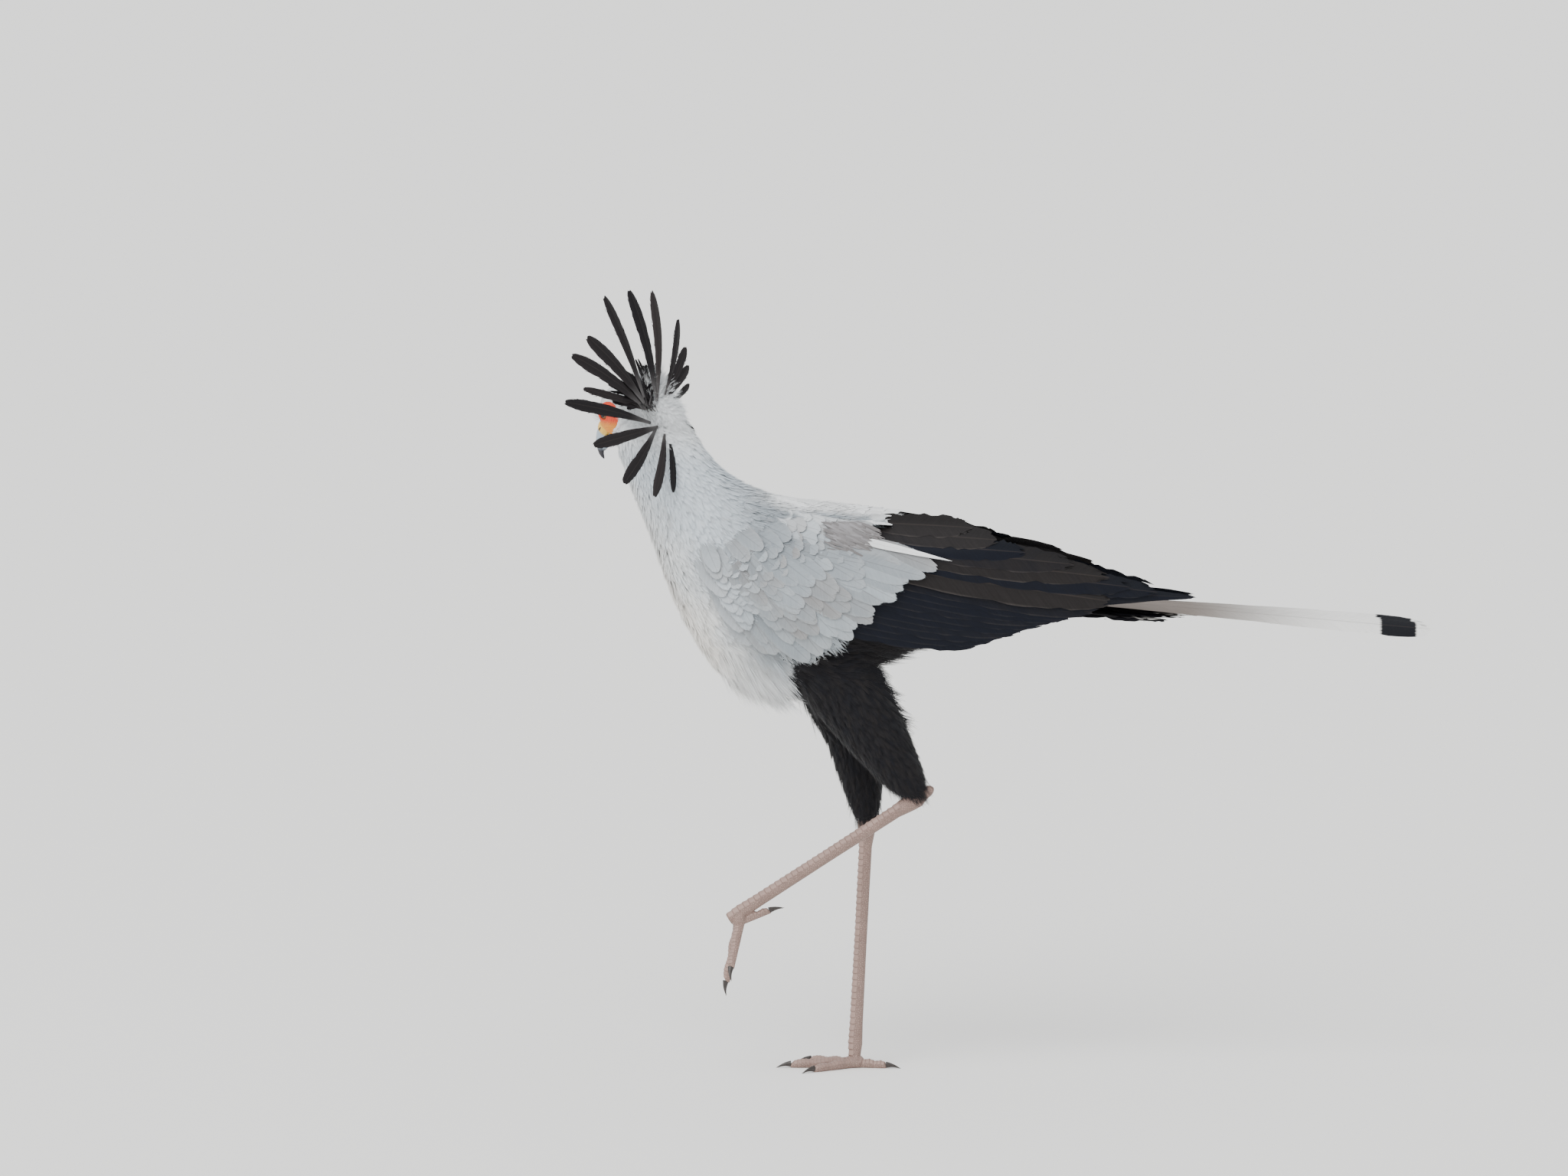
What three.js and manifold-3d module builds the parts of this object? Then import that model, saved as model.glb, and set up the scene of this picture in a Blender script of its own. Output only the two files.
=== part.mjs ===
// A secretary bird, life size, in mid stride with its head turned away and its crest spread.
// Millimetres, +Z up. The bird walks towards -X and its left side is towards -Y. The ground
// is z = 0, and the origin is under the pad of the foot it stands on.
import * as THREE from 'three';
import { mergeVertices } from 'three/addons/utils/BufferGeometryUtils.js';
import Module from 'manifold-3d';

const wasm = await Module();
wasm.setup();

// Driving dimensions
const GAP = 0.3;
// Faceted neighbours are cut away by a slightly wider gap
const CUT_GAP = 0.4;

// Neck and body as ribs from the throat to the rump: the [x, z] of the front or lower
// outline, the [x, z] of the back or upper outline, and half the width
const TRUNK_RIBS = [
  { front: [-332, 866], back: [-282, 914], half: 24 },
  { front: [-321, 830], back: [-240, 888], half: 36 },
  { front: [-307, 790], back: [-216, 851], half: 46 },
  { front: [-290, 748], back: [-190, 818], half: 53 },
  { front: [-272, 700], back: [-150, 792], half: 63 },
  { front: [-255, 650], back: [-98, 775], half: 74 },
  { front: [-230, 598], back: [-40, 770], half: 83 },
  { front: [-190, 540], back: [12, 762], half: 84 },
  { front: [-120, 510], back: [58, 752], half: 80 },
  { front: [-40, 530], back: [98, 736], half: 70 },
  { front: [40, 560], back: [132, 714], half: 56 },
  { front: [105, 592], back: [160, 692], half: 40 },
  { front: [150, 618], back: [178, 672], half: 24 },
];
const TRUNK_END = [184, 646];
const TRUNK_STEPS = 21;
const TRUNK_SIDES = 22;
const TRUNK_FULLNESS = 2.25;
const NECK_CUT = { at: [-226, 765], towards: [0.62, -0.78] };

// Side that the folded wings lie on: its half width along x, and its rounding up and down
const SIDE_WIDTH = [
  [-250, 62], [-200, 76], [-150, 85], [-100, 89.5], [-50, 91], [0, 89], [50, 84], [100, 77],
  [150, 69.5], [200, 62], [250, 55], [300, 49], [350, 44.5], [400, 41], [470, 38],
];
const SIDE_MIDDLE = [[-250, 690], [-100, 655], [100, 650], [300, 648], [470, 640]];
const SIDE_REACH_UP = [[-250, 116], [100, 122], [300, 180], [470, 230]];
const SIDE_REACH_DOWN = [[-250, 150], [100, 150], [300, 220], [470, 260]];

// Head, in its own frame: x towards the bill, y to its left, z to the crown
const HEAD_AT = [-324, 12, 894];
const HEAD_TURN = 38;
const HEAD_DROP = 50;
const SKULL = [
  { x: -36, z: 6, high: 5, wide: 5 },
  { x: -32, z: 6, high: 15, wide: 13 },
  { x: -22, z: 5, high: 23, wide: 19 },
  { x: -10, z: 4, high: 27, wide: 22 },
  { x: 3, z: 3, high: 27.5, wide: 22.5 },
  { x: 14, z: 1, high: 25, wide: 20 },
  { x: 23, z: -1, high: 20, wide: 15.5 },
  { x: 30, z: -2, high: 16, wide: 11.5 },
];
const HEAD_SIDES = 16;
const BILL_BASE = 30;
const BILL_SIDES = 14;
const EYE = { x: 10, y: 13.5, z: 6, radius: 9 };
const LID = { ring: 8.6, thick: 1.7, out: 19.4 };
const BROW = { x: 9, y: 17.5, z: 15.5, long: 15, wide: 5, high: 3, tilt: 12 };
const CERE_RIBS = [
  { x: 30, top: 13.5, wide: 10.8 },
  { x: 35, top: 12.8, wide: 10 },
  { x: 40, top: 11.2, wide: 9.2 },
];
const UPPER_BILL_RIBS = [
  { x: 40, top: 10.6, wide: 8.9, low: 0 },
  { x: 47, top: 8.8, wide: 7.8, low: 0 },
  { x: 54, top: 5.2, wide: 6.4, low: 0 },
  { x: 60, top: 0.4, wide: 5, low: -0.6 },
  { x: 65, top: -5.6, wide: 3.6, low: -3.6 },
  { x: 68.4, top: -12, wide: 2.4, low: -7.6 },
];
const HOOK_TIP = [69, -23];
const LOWER_BILL_RIBS = [
  { x: 30, deep: 7.6, wide: 9.4 },
  { x: 38, deep: 7, wide: 8.2 },
  { x: 47, deep: 6, wide: 6.6 },
  { x: 55, deep: 4.4, wide: 4.8 },
  { x: 60, deep: 2.6, wide: 3 },
];
const NOSTRIL = { x: 36.5, y: 9.6, z: 3.5, long: 3.4, high: 1.2, deep: 1.6 };
const NOSTRIL_TILT = 20;
const MOUTH = { from: 13, to: 30, out: 15.25, z: -9.2, high: 0.9, deep: 2.2, turn: 32 };
// The line of the mouth sinks along the bill as a parabola
const GAPE = { z: -9, bow: 0.0045 };

// Crest: the spread fan on the nape. Each feather has its direction as the left side view
// shows it, in degrees from straight up towards the bill, its reach in that view and the
// width of its blade.
const NAPE = { at: [-272, -12, 904], long: 54, wide: 33, thick: 31, lean: 40 };
const FAN_NORMAL = [0.62, -0.74, 0.26];
const FAN_CONE = 0.15;
const CREST_BOW = 0.05;
const CREST_THICK = 1;
// Width of a crest feather along its length: a thin stalk, widest near a blunt tip
const CREST_SHAPE = [[0, 0.28], [0.45, 0.42], [0.8, 1], [1, 0.55]];
const CREST_STALK = 3.4;
const CREST_POINT = 0.25;
const CREST = [
  [24, 166, 12], [12, 162, 14], [2, 158, 11], [-13, 126, 10], [-27, 96, 10], [-40, 76, 11],
  [-54, 56, 9], [-118, 56, 8], [-140, 58, 8], [43, 132, 16], [57, 126, 14], [74, 97, 8],
  [85, 118, 14], [121, 94, 15], [158, 106, 13], [180, 118, 12], [-166, 113, 9],
];

// Folded wing, in the side view: x, z, and a depth outside the body's side. The primaries
// lie innermost, the secondaries over them and the grey coverts outermost.
const LAYER = {
  primaries: { block: [2, 5.4], vanes: 3.8, thick: 0.8 },
  secondaries: { block: [7, 12.4], vanes: 10.3, thick: 0.9 },
  coverts: { inside: 15.4, edge: 19, bulge: 5, thick: 1.1 },
};
const SHOULDER = {
  outline: [
    [-212, 668, 700], [-195, 632, 718], [-165, 600, 730], [-135, 590, 736], [-104.6, 592, 736],
  ],
  depth: [-30, 18.5],
};
const COVERT_SHELL = { at: [-76, 668], long: 129, high: 71, fall: 4 };
// Tips of the greater coverts run along a bend from low in front to high behind; the rows
// above them step back towards the shoulder
const COVERTS = {
  tips: [[-124, 574], [-8, 546], [119, 694]],
  aim: [-62, -12],
  rowStep: 43,
  tilt: 0.06,
  rootDepth: -2.2,
  tipDepth: 1.8,
  shelfDepth: 17,
  rows: [
    { count: 9, length: [72, 112], width: 38 },
    { count: 7, length: [62, 76], width: 40 },
    { count: 6, length: [56, 66], width: 38 },
    { count: 4, length: [50, 58], width: 36 },
  ],
};
const SECONDARIES = {
  block: [[-104, 622, 700], [-60, 618, 716], [0, 622, 733], [50, 640, 728]],
  count: 8,
  roots: [[-72, 626], [22, 712]],
  tips: [[172, 591], [346, 652]],
  width: 45,
  tilt: 0.115,
};
const TERTIALS = [
  { root: [16, 716], tip: [356, 675], width: 58 },
  { root: [24, 724], tip: [296, 702], width: 42 },
  { root: [28, 730], tip: [196, 724], width: 32 },
];
// Width of a covert or flight feather along its length
const BLADE_SHAPE = [[0, 0.5], [0.3, 0.86], [0.7, 1], [0.9, 0.84], [1, 0.42]];
const BLADE_POINT = 0.16;
const BLADE_CAMBER = 0.5;
const PRIMARIES = {
  block: [[-104, 640, 668], [-20, 628, 672], [80, 622, 676], [180, 620, 678], [236, 632, 672]],
  count: 4,
  roots: [[206, 634], [206, 662]],
  tips: [[392, 627], [452, 641]],
  width: 34,
  tilt: 0.11,
  point: 0.4,
};

// Tail: rump, side feathers in pairs under the long middle pair, and a tier of coverts
const RUMP = [
  [128, 36, 653, 42], [180, 35, 650, 28], [215, 33, 647, 15], [238, 26, 645, 6],
];
const TAIL_FROM = [176, 648];
const MIDDLE_PAIR = { tip: [762, 601], sag: 9, width: 50, apart: 10, over: 2.6, shorter: 14 };
const SIDE_FEATHERS = {
  pairs: 5,
  longest: 296,
  shorter: 24,
  width: 36,
  spread: [4, 22],
  step: 1.9,
  tipHeight: 622,
  sag: 2,
};
const TAIL_COVERTS = {
  pairs: 2,
  length: 104,
  shorter: 12,
  width: 34,
  from: 168,
  lift: [9, 3],
  beside: [6, 12],
  fan: 4,
  sag: -1,
  roll: 8,
};
const TAIL_VANE = { thick: 1, camber: 0.6, point: 0.3 };

// Legs: side view [x, y, z, half length, half width] from inside the body to the ankle
const LEGS = {
  left: {
    thigh: [
      [-62, -38, 590, 58, 28], [-22, -43, 525, 50, 33], [24, -48, 458, 40, 31],
      [58, -53, 408, 27, 22], [76, -56, 384, 14, 12],
    ],
    hock: [76, -56, 378],
    ankle: [-173, -60, 216],
    footPitch: 76,
    hindFlex: 54,
  },
  right: {
    thigh: [
      [-62, 38, 585, 58, 28], [-28, 41, 510, 50, 33], [-6, 37, 440, 36, 30],
      [4, 32, 380, 26, 22], [9, 28, 340, 15, 13],
    ],
    hock: [9, 28, 332],
    ankle: [-7, 2, 20],
    footPitch: 0,
    hindFlex: 0,
  },
};
const SHANK = { flatten: 0.84, sides: 10 };
// Radius of the shank at distances below the hock, and at distances above the ankle
const SHANK_TOP = [[-26, 6.2], [-9, 8.8], [0, 12.5], [14, 11.5], [34, 8.6]];
const SHANK_MIDDLE = 8.2;
const SHANK_END = [[40, 8.6], [12, 9.4], [-6, 7.5]];
const SCUTES = { count: 15, from: 34, to: 276, reach: 0.2, raise: 1, lip: 1.2 };
const FOOT = { pad: 13, high: 9.4, lift: -1.4 };
const TOES = {
  inner: { turn: 34, length: 54, thick: 7.2 },
  middle: { turn: 2, length: 74, thick: 7.8 },
  outer: { turn: -32, length: 58, thick: 7 },
  hind: { turn: 170, length: 30, thick: 6.8 },
};
const TOE_START = 4;
const TOE_REACH = 13.5;
const TOE_FLAT = 1.1;
const TOE_STEPS = 4;
const TOE_TAPER = 0.3;
const KNUCKLE = { swell: 0.07, count: 2.5 };
const CLAW = { length: 20, thick: 4.4, taper: 0.7, flat: 0.4, rise: 1, stops: [0, 0.3, 0.62, 0.88] };

// Finishes
const finish = (color, roughness) => new THREE.MeshStandardMaterial({
  color, roughness, metalness: 0, side: THREE.FrontSide,
});
const PALE_GREY = finish(0xc9ced4, 0.9);
const BLACK = finish(0x1d1e24, 0.7);
const FACE = finish(0xe8622c, 0.6);
const CERE_YELLOW = finish(0xe3b04a, 0.5);
const HORN = finish(0x8f9aa5, 0.35);
const EYE_BROWN = finish(0x2b1a10, 0.1);
const TAIL_PALE = finish(0xd8d2c6, 0.85);
const LEG_PINK = finish(0xc9a192, 0.55);
const CLAW_BLACK = finish(0x1a1715, 0.4);

// Small helpers
const at = (x, y, z) => new THREE.Vector3(x, y, z);
const radians = THREE.MathUtils.degToRad;
const WIDTHWAYS = at(0, 1, 0);
const UPWARD = at(0, 0, 1);

// Value of a [position, value] list at x, straight between its entries
function between(list, x) {
  if (x <= list[0][0]) return list[0][1];
  for (let i = 1; i < list.length; i += 1) {
    const [x0, v0] = list[i - 1];
    const [x1, v1] = list[i];
    if (x <= x1) return v0 + ((v1 - v0) * (x - x0)) / (x1 - x0);
  }
  return list[list.length - 1][1];
}

// Closed surface from points and triangles, turned to face out
function closedShape(points, faces) {
  let volume = 0;
  for (const [a, b, c] of faces) {
    volume += points[a].dot(points[b].clone().cross(points[c]));
  }
  const outward = volume >= 0 ? faces : faces.map(([a, b, c]) => [a, c, b]);
  const geometry = new THREE.BufferGeometry();
  const positions = points.flatMap((p) => [p.x, p.y, p.z]);
  geometry.setAttribute('position', new THREE.Float32BufferAttribute(positions, 3));
  geometry.setIndex(outward.flat());
  return geometry;
}

// Ring of points on an ellipse, or on a fuller oval where fullness is over 2
function ring(centre, across, upward, halfWidth, halfHeight, sides, fullness = 2) {
  const swell = (value) => Math.sign(value) * Math.abs(value) ** (2 / fullness);
  const points = [];
  for (let i = 0; i < sides; i += 1) {
    const turn = (2 * Math.PI * i) / sides;
    points.push(centre.clone()
      .addScaledVector(across, halfWidth * swell(Math.cos(turn)))
      .addScaledVector(upward, halfHeight * swell(Math.sin(turn))));
  }
  return points;
}

// Closed loft through rings of equal count, with a fan to a point at each end
function loft(rings, first = null, last = null) {
  const sides = rings[0].length;
  const points = rings.flat();
  const faces = [];
  for (let r = 0; r + 1 < rings.length; r += 1) {
    for (let i = 0; i < sides; i += 1) {
      const a = r * sides + i;
      const b = r * sides + ((i + 1) % sides);
      faces.push([a, b, b + sides], [a, b + sides, a + sides]);
    }
  }
  const middle = (list) => list.reduce((sum, p) => sum.add(p), at(0, 0, 0)).divideScalar(sides);
  const start = points.push(first ?? middle(rings[0])) - 1;
  const end = points.push(last ?? middle(rings[rings.length - 1])) - 1;
  const lastRing = (rings.length - 1) * sides;
  for (let i = 0; i < sides; i += 1) {
    const next = (i + 1) % sides;
    faces.push([start, next, i], [end, lastRing + i, lastRing + next]);
  }
  return closedShape(points, faces);
}

// Closed plate between an outer and an inner grid of points, split alike on both faces
function plate(outer, inner) {
  const rows = outer.length;
  const columns = outer[0].length;
  const points = [...outer.flat(), ...inner.flat()];
  const below = rows * columns;
  const index = (r, c) => r * columns + c;
  const faces = [];
  for (let r = 0; r + 1 < rows; r += 1) {
    for (let c = 0; c + 1 < columns; c += 1) {
      const a = index(r, c);
      const b = index(r, c + 1);
      const d = index(r + 1, c);
      const e = index(r + 1, c + 1);
      faces.push([a, b, e], [a, e, d]);
      faces.push([below + a, below + e, below + b], [below + a, below + d, below + e]);
    }
  }
  const rim = [];
  for (let c = 0; c < columns; c += 1) rim.push(index(0, c));
  for (let r = 1; r < rows; r += 1) rim.push(index(r, columns - 1));
  for (let c = columns - 2; c >= 0; c -= 1) rim.push(index(rows - 1, c));
  for (let r = rows - 2; r > 0; r -= 1) rim.push(index(r, 0));
  rim.forEach((a, i) => {
    const b = rim[(i + 1) % rim.length];
    faces.push([a, below + a, below + b], [a, below + b, b]);
  });
  return closedShape(points, faces);
}

// Feather blade: a closed vane with three points across on each face. line, across, facing
// and half give its middle, its two directions and its half width along 0 to 1; point is how
// far the middle of the tip stands out past its corners, and place maps each point.
function vane({
  steps, line, across, facing, half, thick, camber = 0, point = 0, place = (p) => p,
}) {
  const faces = [1, -1].map((side) => steps.map((t, i) => {
    const middle = line(t);
    const ahead = line(t + 0.01).sub(middle).normalize();
    return [-1, 0, 1].map((edge) => {
      const p = middle.clone().addScaledVector(across(t), edge * half(t));
      const rise = (side * thick) / 2 + (edge === 0 ? camber : 0);
      p.addScaledVector(facing(t), rise);
      if (edge === 0 && i === steps.length - 1) p.addScaledVector(ahead, point);
      return place(p);
    });
  }));
  return plate(faces[0], faces[1]);
}

// Solids that can be joined and cut
function solid(geometry) {
  const bare = geometry.clone();
  bare.deleteAttribute('normal');
  bare.deleteAttribute('uv');
  const merged = mergeVertices(bare, 1e-4);
  return new wasm.Manifold(new wasm.Mesh({
    numProp: 3,
    vertProperties: new Float32Array(merged.attributes.position.array),
    triVerts: new Uint32Array(merged.index.array),
  }));
}

// The largest closed surface of a solid
function largest(body) {
  return body.decompose().reduce((best, piece) => (piece.volume() > best.volume() ? piece : best));
}

function shapeOf(body) {
  const mesh = largest(body).getMesh();
  const geometry = new THREE.BufferGeometry();
  const positions = new THREE.Float32BufferAttribute(mesh.vertProperties, mesh.numProp);
  geometry.setAttribute('position', positions);
  geometry.setIndex(new THREE.BufferAttribute(mesh.triVerts, 1));
  return geometry;
}

function moved(geometry, matrix) {
  const copy = geometry.clone();
  copy.applyMatrix4(matrix);
  return copy;
}

const bird = new THREE.Group();
function addPart(name, geometry, material) {
  const mesh = new THREE.Mesh(geometry, material);
  mesh.name = name;
  bird.add(mesh);
}

// Neck and body
function trunk(grow = 0) {
  const outline = (key) => new THREE.CatmullRomCurve3(
    TRUNK_RIBS.map((rib) => at(rib[key][0], rib.half, rib[key][1])),
    false,
    'centripetal',
  );
  const front = outline('front');
  const back = outline('back');
  const rings = [];
  for (let i = 0; i <= TRUNK_STEPS; i += 1) {
    const low = front.getPoint(i / TRUNK_STEPS);
    const high = back.getPoint(i / TRUNK_STEPS);
    const half = low.y + grow;
    low.y = 0;
    high.y = 0;
    const upward = high.clone().sub(low);
    const halfHeight = upward.length() / 2 + grow;
    const centre = low.clone().add(high).multiplyScalar(0.5);
    upward.normalize();
    rings.push(ring(centre, WIDTHWAYS, upward, half, halfHeight, TRUNK_SIDES, TRUNK_FULLNESS));
  }
  return loft(rings, null, at(TRUNK_END[0] + grow, 0, TRUNK_END[1]));
}

// Frame of the head in the body
const headFrame = new THREE.Matrix4();
{
  const turn = radians(HEAD_TURN);
  const drop = radians(HEAD_DROP);
  const level = at(-Math.cos(turn), Math.sin(turn), 0);
  const forward = level.multiplyScalar(Math.cos(drop)).add(at(0, 0, -Math.sin(drop)));
  const left = at(-Math.sin(turn), -Math.cos(turn), 0);
  const crown = forward.clone().cross(left);
  headFrame.makeBasis(forward, left, crown).setPosition(...HEAD_AT);
}
const inHead = (geometry) => moved(geometry, headFrame);

function skull(grow = 0) {
  const rings = SKULL.map(({ x, z, high, wide }) => (
    ring(at(x, 0, z), WIDTHWAYS, UPWARD, wide + grow, high + grow, HEAD_SIDES)));
  const first = SKULL[0];
  const last = SKULL[SKULL.length - 1];
  return loft(rings, at(first.x - 1 - grow, 0, first.z), at(last.x + grow, 0, last.z));
}

// Height of the line of the mouth, along the head
const gapeHeight = (x) => GAPE.z - GAPE.bow * (x - BILL_BASE) ** 2;

function ballAt(x, y, z, radius) {
  return new THREE.SphereGeometry(radius, 12, 9).translate(x, y, z);
}

function head() {
  let body = solid(skull());
  for (const side of [1, -1]) {
    const lids = new THREE.TorusGeometry(LID.ring, LID.thick, 4, 12).rotateX(Math.PI / 2);
    body = body.add(solid(lids.translate(EYE.x, side * LID.out, EYE.z)));
    const brow = new THREE.SphereGeometry(1, 10, 6);
    brow.scale(BROW.long / 2, BROW.wide / 2, BROW.high / 2).rotateY(radians(BROW.tilt));
    body = body.add(solid(brow.translate(BROW.x, side * BROW.y, BROW.z)));
  }
  for (const side of [1, -1]) {
    body = body.subtract(solid(ballAt(EYE.x, side * EYE.y, EYE.z, EYE.radius + GAP)));
    const line = new THREE.BoxGeometry(MOUTH.to - MOUTH.from, 2 * MOUTH.deep, MOUTH.high);
    line.rotateZ(-side * radians(MOUTH.turn));
    line.translate((MOUTH.from + MOUTH.to) / 2, side * MOUTH.out, MOUTH.z);
    body = body.subtract(solid(line));
  }
  return shapeOf(body);
}

function cere() {
  const rings = CERE_RIBS.map(({ x, top, wide }) => {
    const low = gapeHeight(x);
    const centre = at(x === BILL_BASE ? x + 2 * GAP : x, 0, (top + low) / 2);
    return ring(centre, WIDTHWAYS, UPWARD, wide, (top - low) / 2, BILL_SIDES);
  });
  let body = solid(loft(rings));
  for (const side of [1, -1]) {
    const hole = new THREE.SphereGeometry(1, 8, 6).scale(NOSTRIL.long, NOSTRIL.deep, NOSTRIL.high);
    hole.rotateY(radians(NOSTRIL_TILT));
    body = body.subtract(solid(hole.translate(NOSTRIL.x, side * NOSTRIL.y, NOSTRIL.z)));
  }
  return shapeOf(body);
}

function upperBill() {
  const rings = UPPER_BILL_RIBS.map(({ x, top, wide, low }, i) => {
    const bottom = gapeHeight(x) + low;
    const centre = at(i === 0 ? x + GAP : x, 0, (top + bottom) / 2);
    return ring(centre, WIDTHWAYS, UPWARD, wide, (top - bottom) / 2, BILL_SIDES);
  });
  return loft(rings, null, at(HOOK_TIP[0], 0, HOOK_TIP[1]));
}

function lowerBill() {
  const rings = LOWER_BILL_RIBS.map(({ x, deep, wide }, i) => {
    const top = gapeHeight(x) - 2 * GAP;
    const centre = at(i === 0 ? x + 2 * GAP : x, 0, top - deep / 2);
    return ring(centre, WIDTHWAYS, UPWARD, wide, deep / 2, BILL_SIDES);
  });
  return loft(rings);
}

addPart('head', inHead(head()), FACE);
addPart('cere', inHead(cere()), CERE_YELLOW);
addPart('bill_upper', inHead(upperBill()), HORN);
addPart('bill_lower', inHead(lowerBill()), HORN);
addPart('eye_left', inHead(ballAt(EYE.x, EYE.y, EYE.z, EYE.radius)), EYE_BROWN);
addPart('eye_right', inHead(ballAt(EYE.x, -EYE.y, EYE.z, EYE.radius)), EYE_BROWN);

// Neck and torso are parted by a slanting cut across the base of the neck
const cutNormal = at(NECK_CUT.towards[0], 0, NECK_CUT.towards[1]).normalize();
const cutAt = cutNormal.dot(at(NECK_CUT.at[0], 0, NECK_CUT.at[1]));
const wholeTrunk = solid(trunk());
const grownHead = solid(inHead(skull(CUT_GAP)));
const neckBody = wholeTrunk
  .trimByPlane(cutNormal.clone().negate().toArray(), -cutAt + GAP / 2)
  .subtract(grownHead);
const torsoBody = wholeTrunk.trimByPlane(cutNormal.toArray(), cutAt + GAP / 2);
const grownTrunk = solid(trunk(CUT_GAP));
addPart('neck', shapeOf(neckBody), PALE_GREY);
addPart('torso', shapeOf(torsoBody), PALE_GREY);

// Crest
const nape = at(...NAPE.at);
const fanNormal = at(...FAN_NORMAL).normalize();
function crestTip([clock, reach]) {
  const x = -reach * Math.sin(radians(clock));
  const z = reach * Math.cos(radians(clock));
  const away = (fanNormal.x * x + fanNormal.z * z - FAN_CONE * reach) / -fanNormal.y;
  return nape.clone().add(at(x, away, z));
}

function napePad() {
  const pad = new THREE.SphereGeometry(1, 14, 10).scale(NAPE.wide, NAPE.thick, NAPE.long);
  pad.rotateY(radians(-NAPE.lean)).translate(...NAPE.at);
  return solid(pad);
}

function crest() {
  let body = napePad();
  for (const feather of CREST) {
    const tip = crestTip(feather);
    const along = tip.clone().sub(nape).normalize();
    const across = along.clone().cross(fanNormal).normalize();
    const facing = across.clone().cross(along).normalize();
    const root = nape.clone().addScaledVector(along, NAPE.thick * 0.5);
    const bow = feather[1] * CREST_BOW;
    body = body.add(solid(vane({
      steps: CREST_SHAPE.map(([t]) => t),
      line: (t) => root.clone().lerp(tip, t).addScaledVector(facing, bow * Math.sin(Math.PI * t)),
      across: () => across,
      facing: () => facing,
      half: (t) => Math.max(CREST_STALK, feather[2] * between(CREST_SHAPE, t)) / 2,
      thick: CREST_THICK,
      point: CREST_POINT * feather[2],
    })));
  }
  return shapeOf(body.subtract(grownTrunk).subtract(grownHead));
}
addPart('crest', crest(), PALE_GREY);

// Folded wings lie on the body's side: x and z as in the side view, and a depth outside it
function sideOf(x, z) {
  const rise = z - between(SIDE_MIDDLE, x);
  const offset = rise / between(rise > 0 ? SIDE_REACH_UP : SIDE_REACH_DOWN, x);
  return between(SIDE_WIDTH, x) * Math.sqrt(Math.max(0.05, 1 - offset * offset));
}
const onWing = (side, x, z, depth) => at(x, side * (sideOf(x, z) + depth), z);

// Block over the side of the body, its outline given as [x, lower z, upper z]
function wingBlock(side, outline, [inside, outside]) {
  const columns = 4;
  const face = (depth) => outline.map(([x, low, high]) => {
    const row = [];
    for (let c = 0; c <= columns; c += 1) {
      row.push(onWing(side, x, low + ((high - low) * c) / columns, depth));
    }
    return row;
  });
  return solid(plate(face(outside), face(inside)));
}

// Feather on the folded wing, from root to tip in [x, z], with its depth at both ends. A
// tilt lifts its lower edge over the feather below.
function wingFeather(side, feather) {
  const { root, tip, width, depth, thick, tilt, steps, point = BLADE_POINT } = feather;
  const from = at(root[0], depth[0], root[1]);
  const to = at(tip[0], depth[1], tip[1]);
  const along = to.clone().sub(from).normalize();
  const across = at(-along.z, -tilt, along.x);
  const stops = Array.from({ length: steps + 1 }, (_, i) => i / steps);
  stops[steps - 1] = (stops[steps - 1] + 2) / 3;
  return solid(vane({
    steps: stops,
    line: (t) => from.clone().lerp(to, t),
    across: () => across,
    facing: () => at(0, 1, 0),
    half: (t) => (width * between(BLADE_SHAPE, t)) / 2,
    thick,
    camber: BLADE_CAMBER,
    point: point * width,
    place: (p) => onWing(side, p.x, p.z, p.y),
  }));
}

const mix = (a, b, t) => a.map((v, i) => v + (b[i] - v) * t);
function bend([a, b, c], t) {
  return mix(mix(a, b, t), mix(b, c, t), t);
}

// Seeded draws, so that like feathers differ a little
let seed = 20261;
function draw(spread) {
  seed = (seed * 16807) % 2147483647;
  return 1 + spread * ((2 * seed) / 2147483647 - 1);
}

// Closed geometry turned to face out, whatever a mirror did to it
function turnedOut(geometry) {
  const merged = mergeVertices(new THREE.BufferGeometry()
    .setAttribute('position', geometry.attributes.position)
    .setIndex(geometry.index), 1e-4);
  const { position } = merged.attributes;
  const points = [];
  for (let i = 0; i < position.count; i += 1) {
    points.push(new THREE.Vector3().fromBufferAttribute(position, i));
  }
  const faces = [];
  for (let i = 0; i < merged.index.count; i += 3) {
    const face = [0, 1, 2].map((k) => merged.index.getX(i + k));
    if (new Set(face).size === 3) faces.push(face);
  }
  return closedShape(points, faces);
}

function covertShellDepth(x, z) {
  const { at: [cx, cz], long, high } = COVERT_SHELL;
  const reach = Math.max(0, 1 - ((x - cx) / long) ** 2 - ((z - cz) / high) ** 2);
  return LAYER.coverts.edge + LAYER.coverts.bulge * Math.sqrt(reach);
}

function covertShell(side) {
  const { at: [cx, cz], long, high, fall } = COVERT_SHELL;
  const { inside, edge, bulge } = LAYER.coverts;
  const shell = new THREE.SphereGeometry(1, 14, 8);
  const points = shell.attributes.position;
  for (let i = 0; i < points.count; i += 1) {
    const x = cx + long * points.getX(i);
    const z = cz + high * points.getZ(i);
    const y = points.getY(i);
    const depth = y > 0 ? edge + bulge * y : Math.max(inside, edge + fall * bulge * y);
    const p = onWing(side, x, z, depth);
    points.setXYZ(i, p.x, side * p.y, p.z);
  }
  if (side < 0) shell.scale(1, -1, 1);
  return turnedOut(shell);
}

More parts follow.
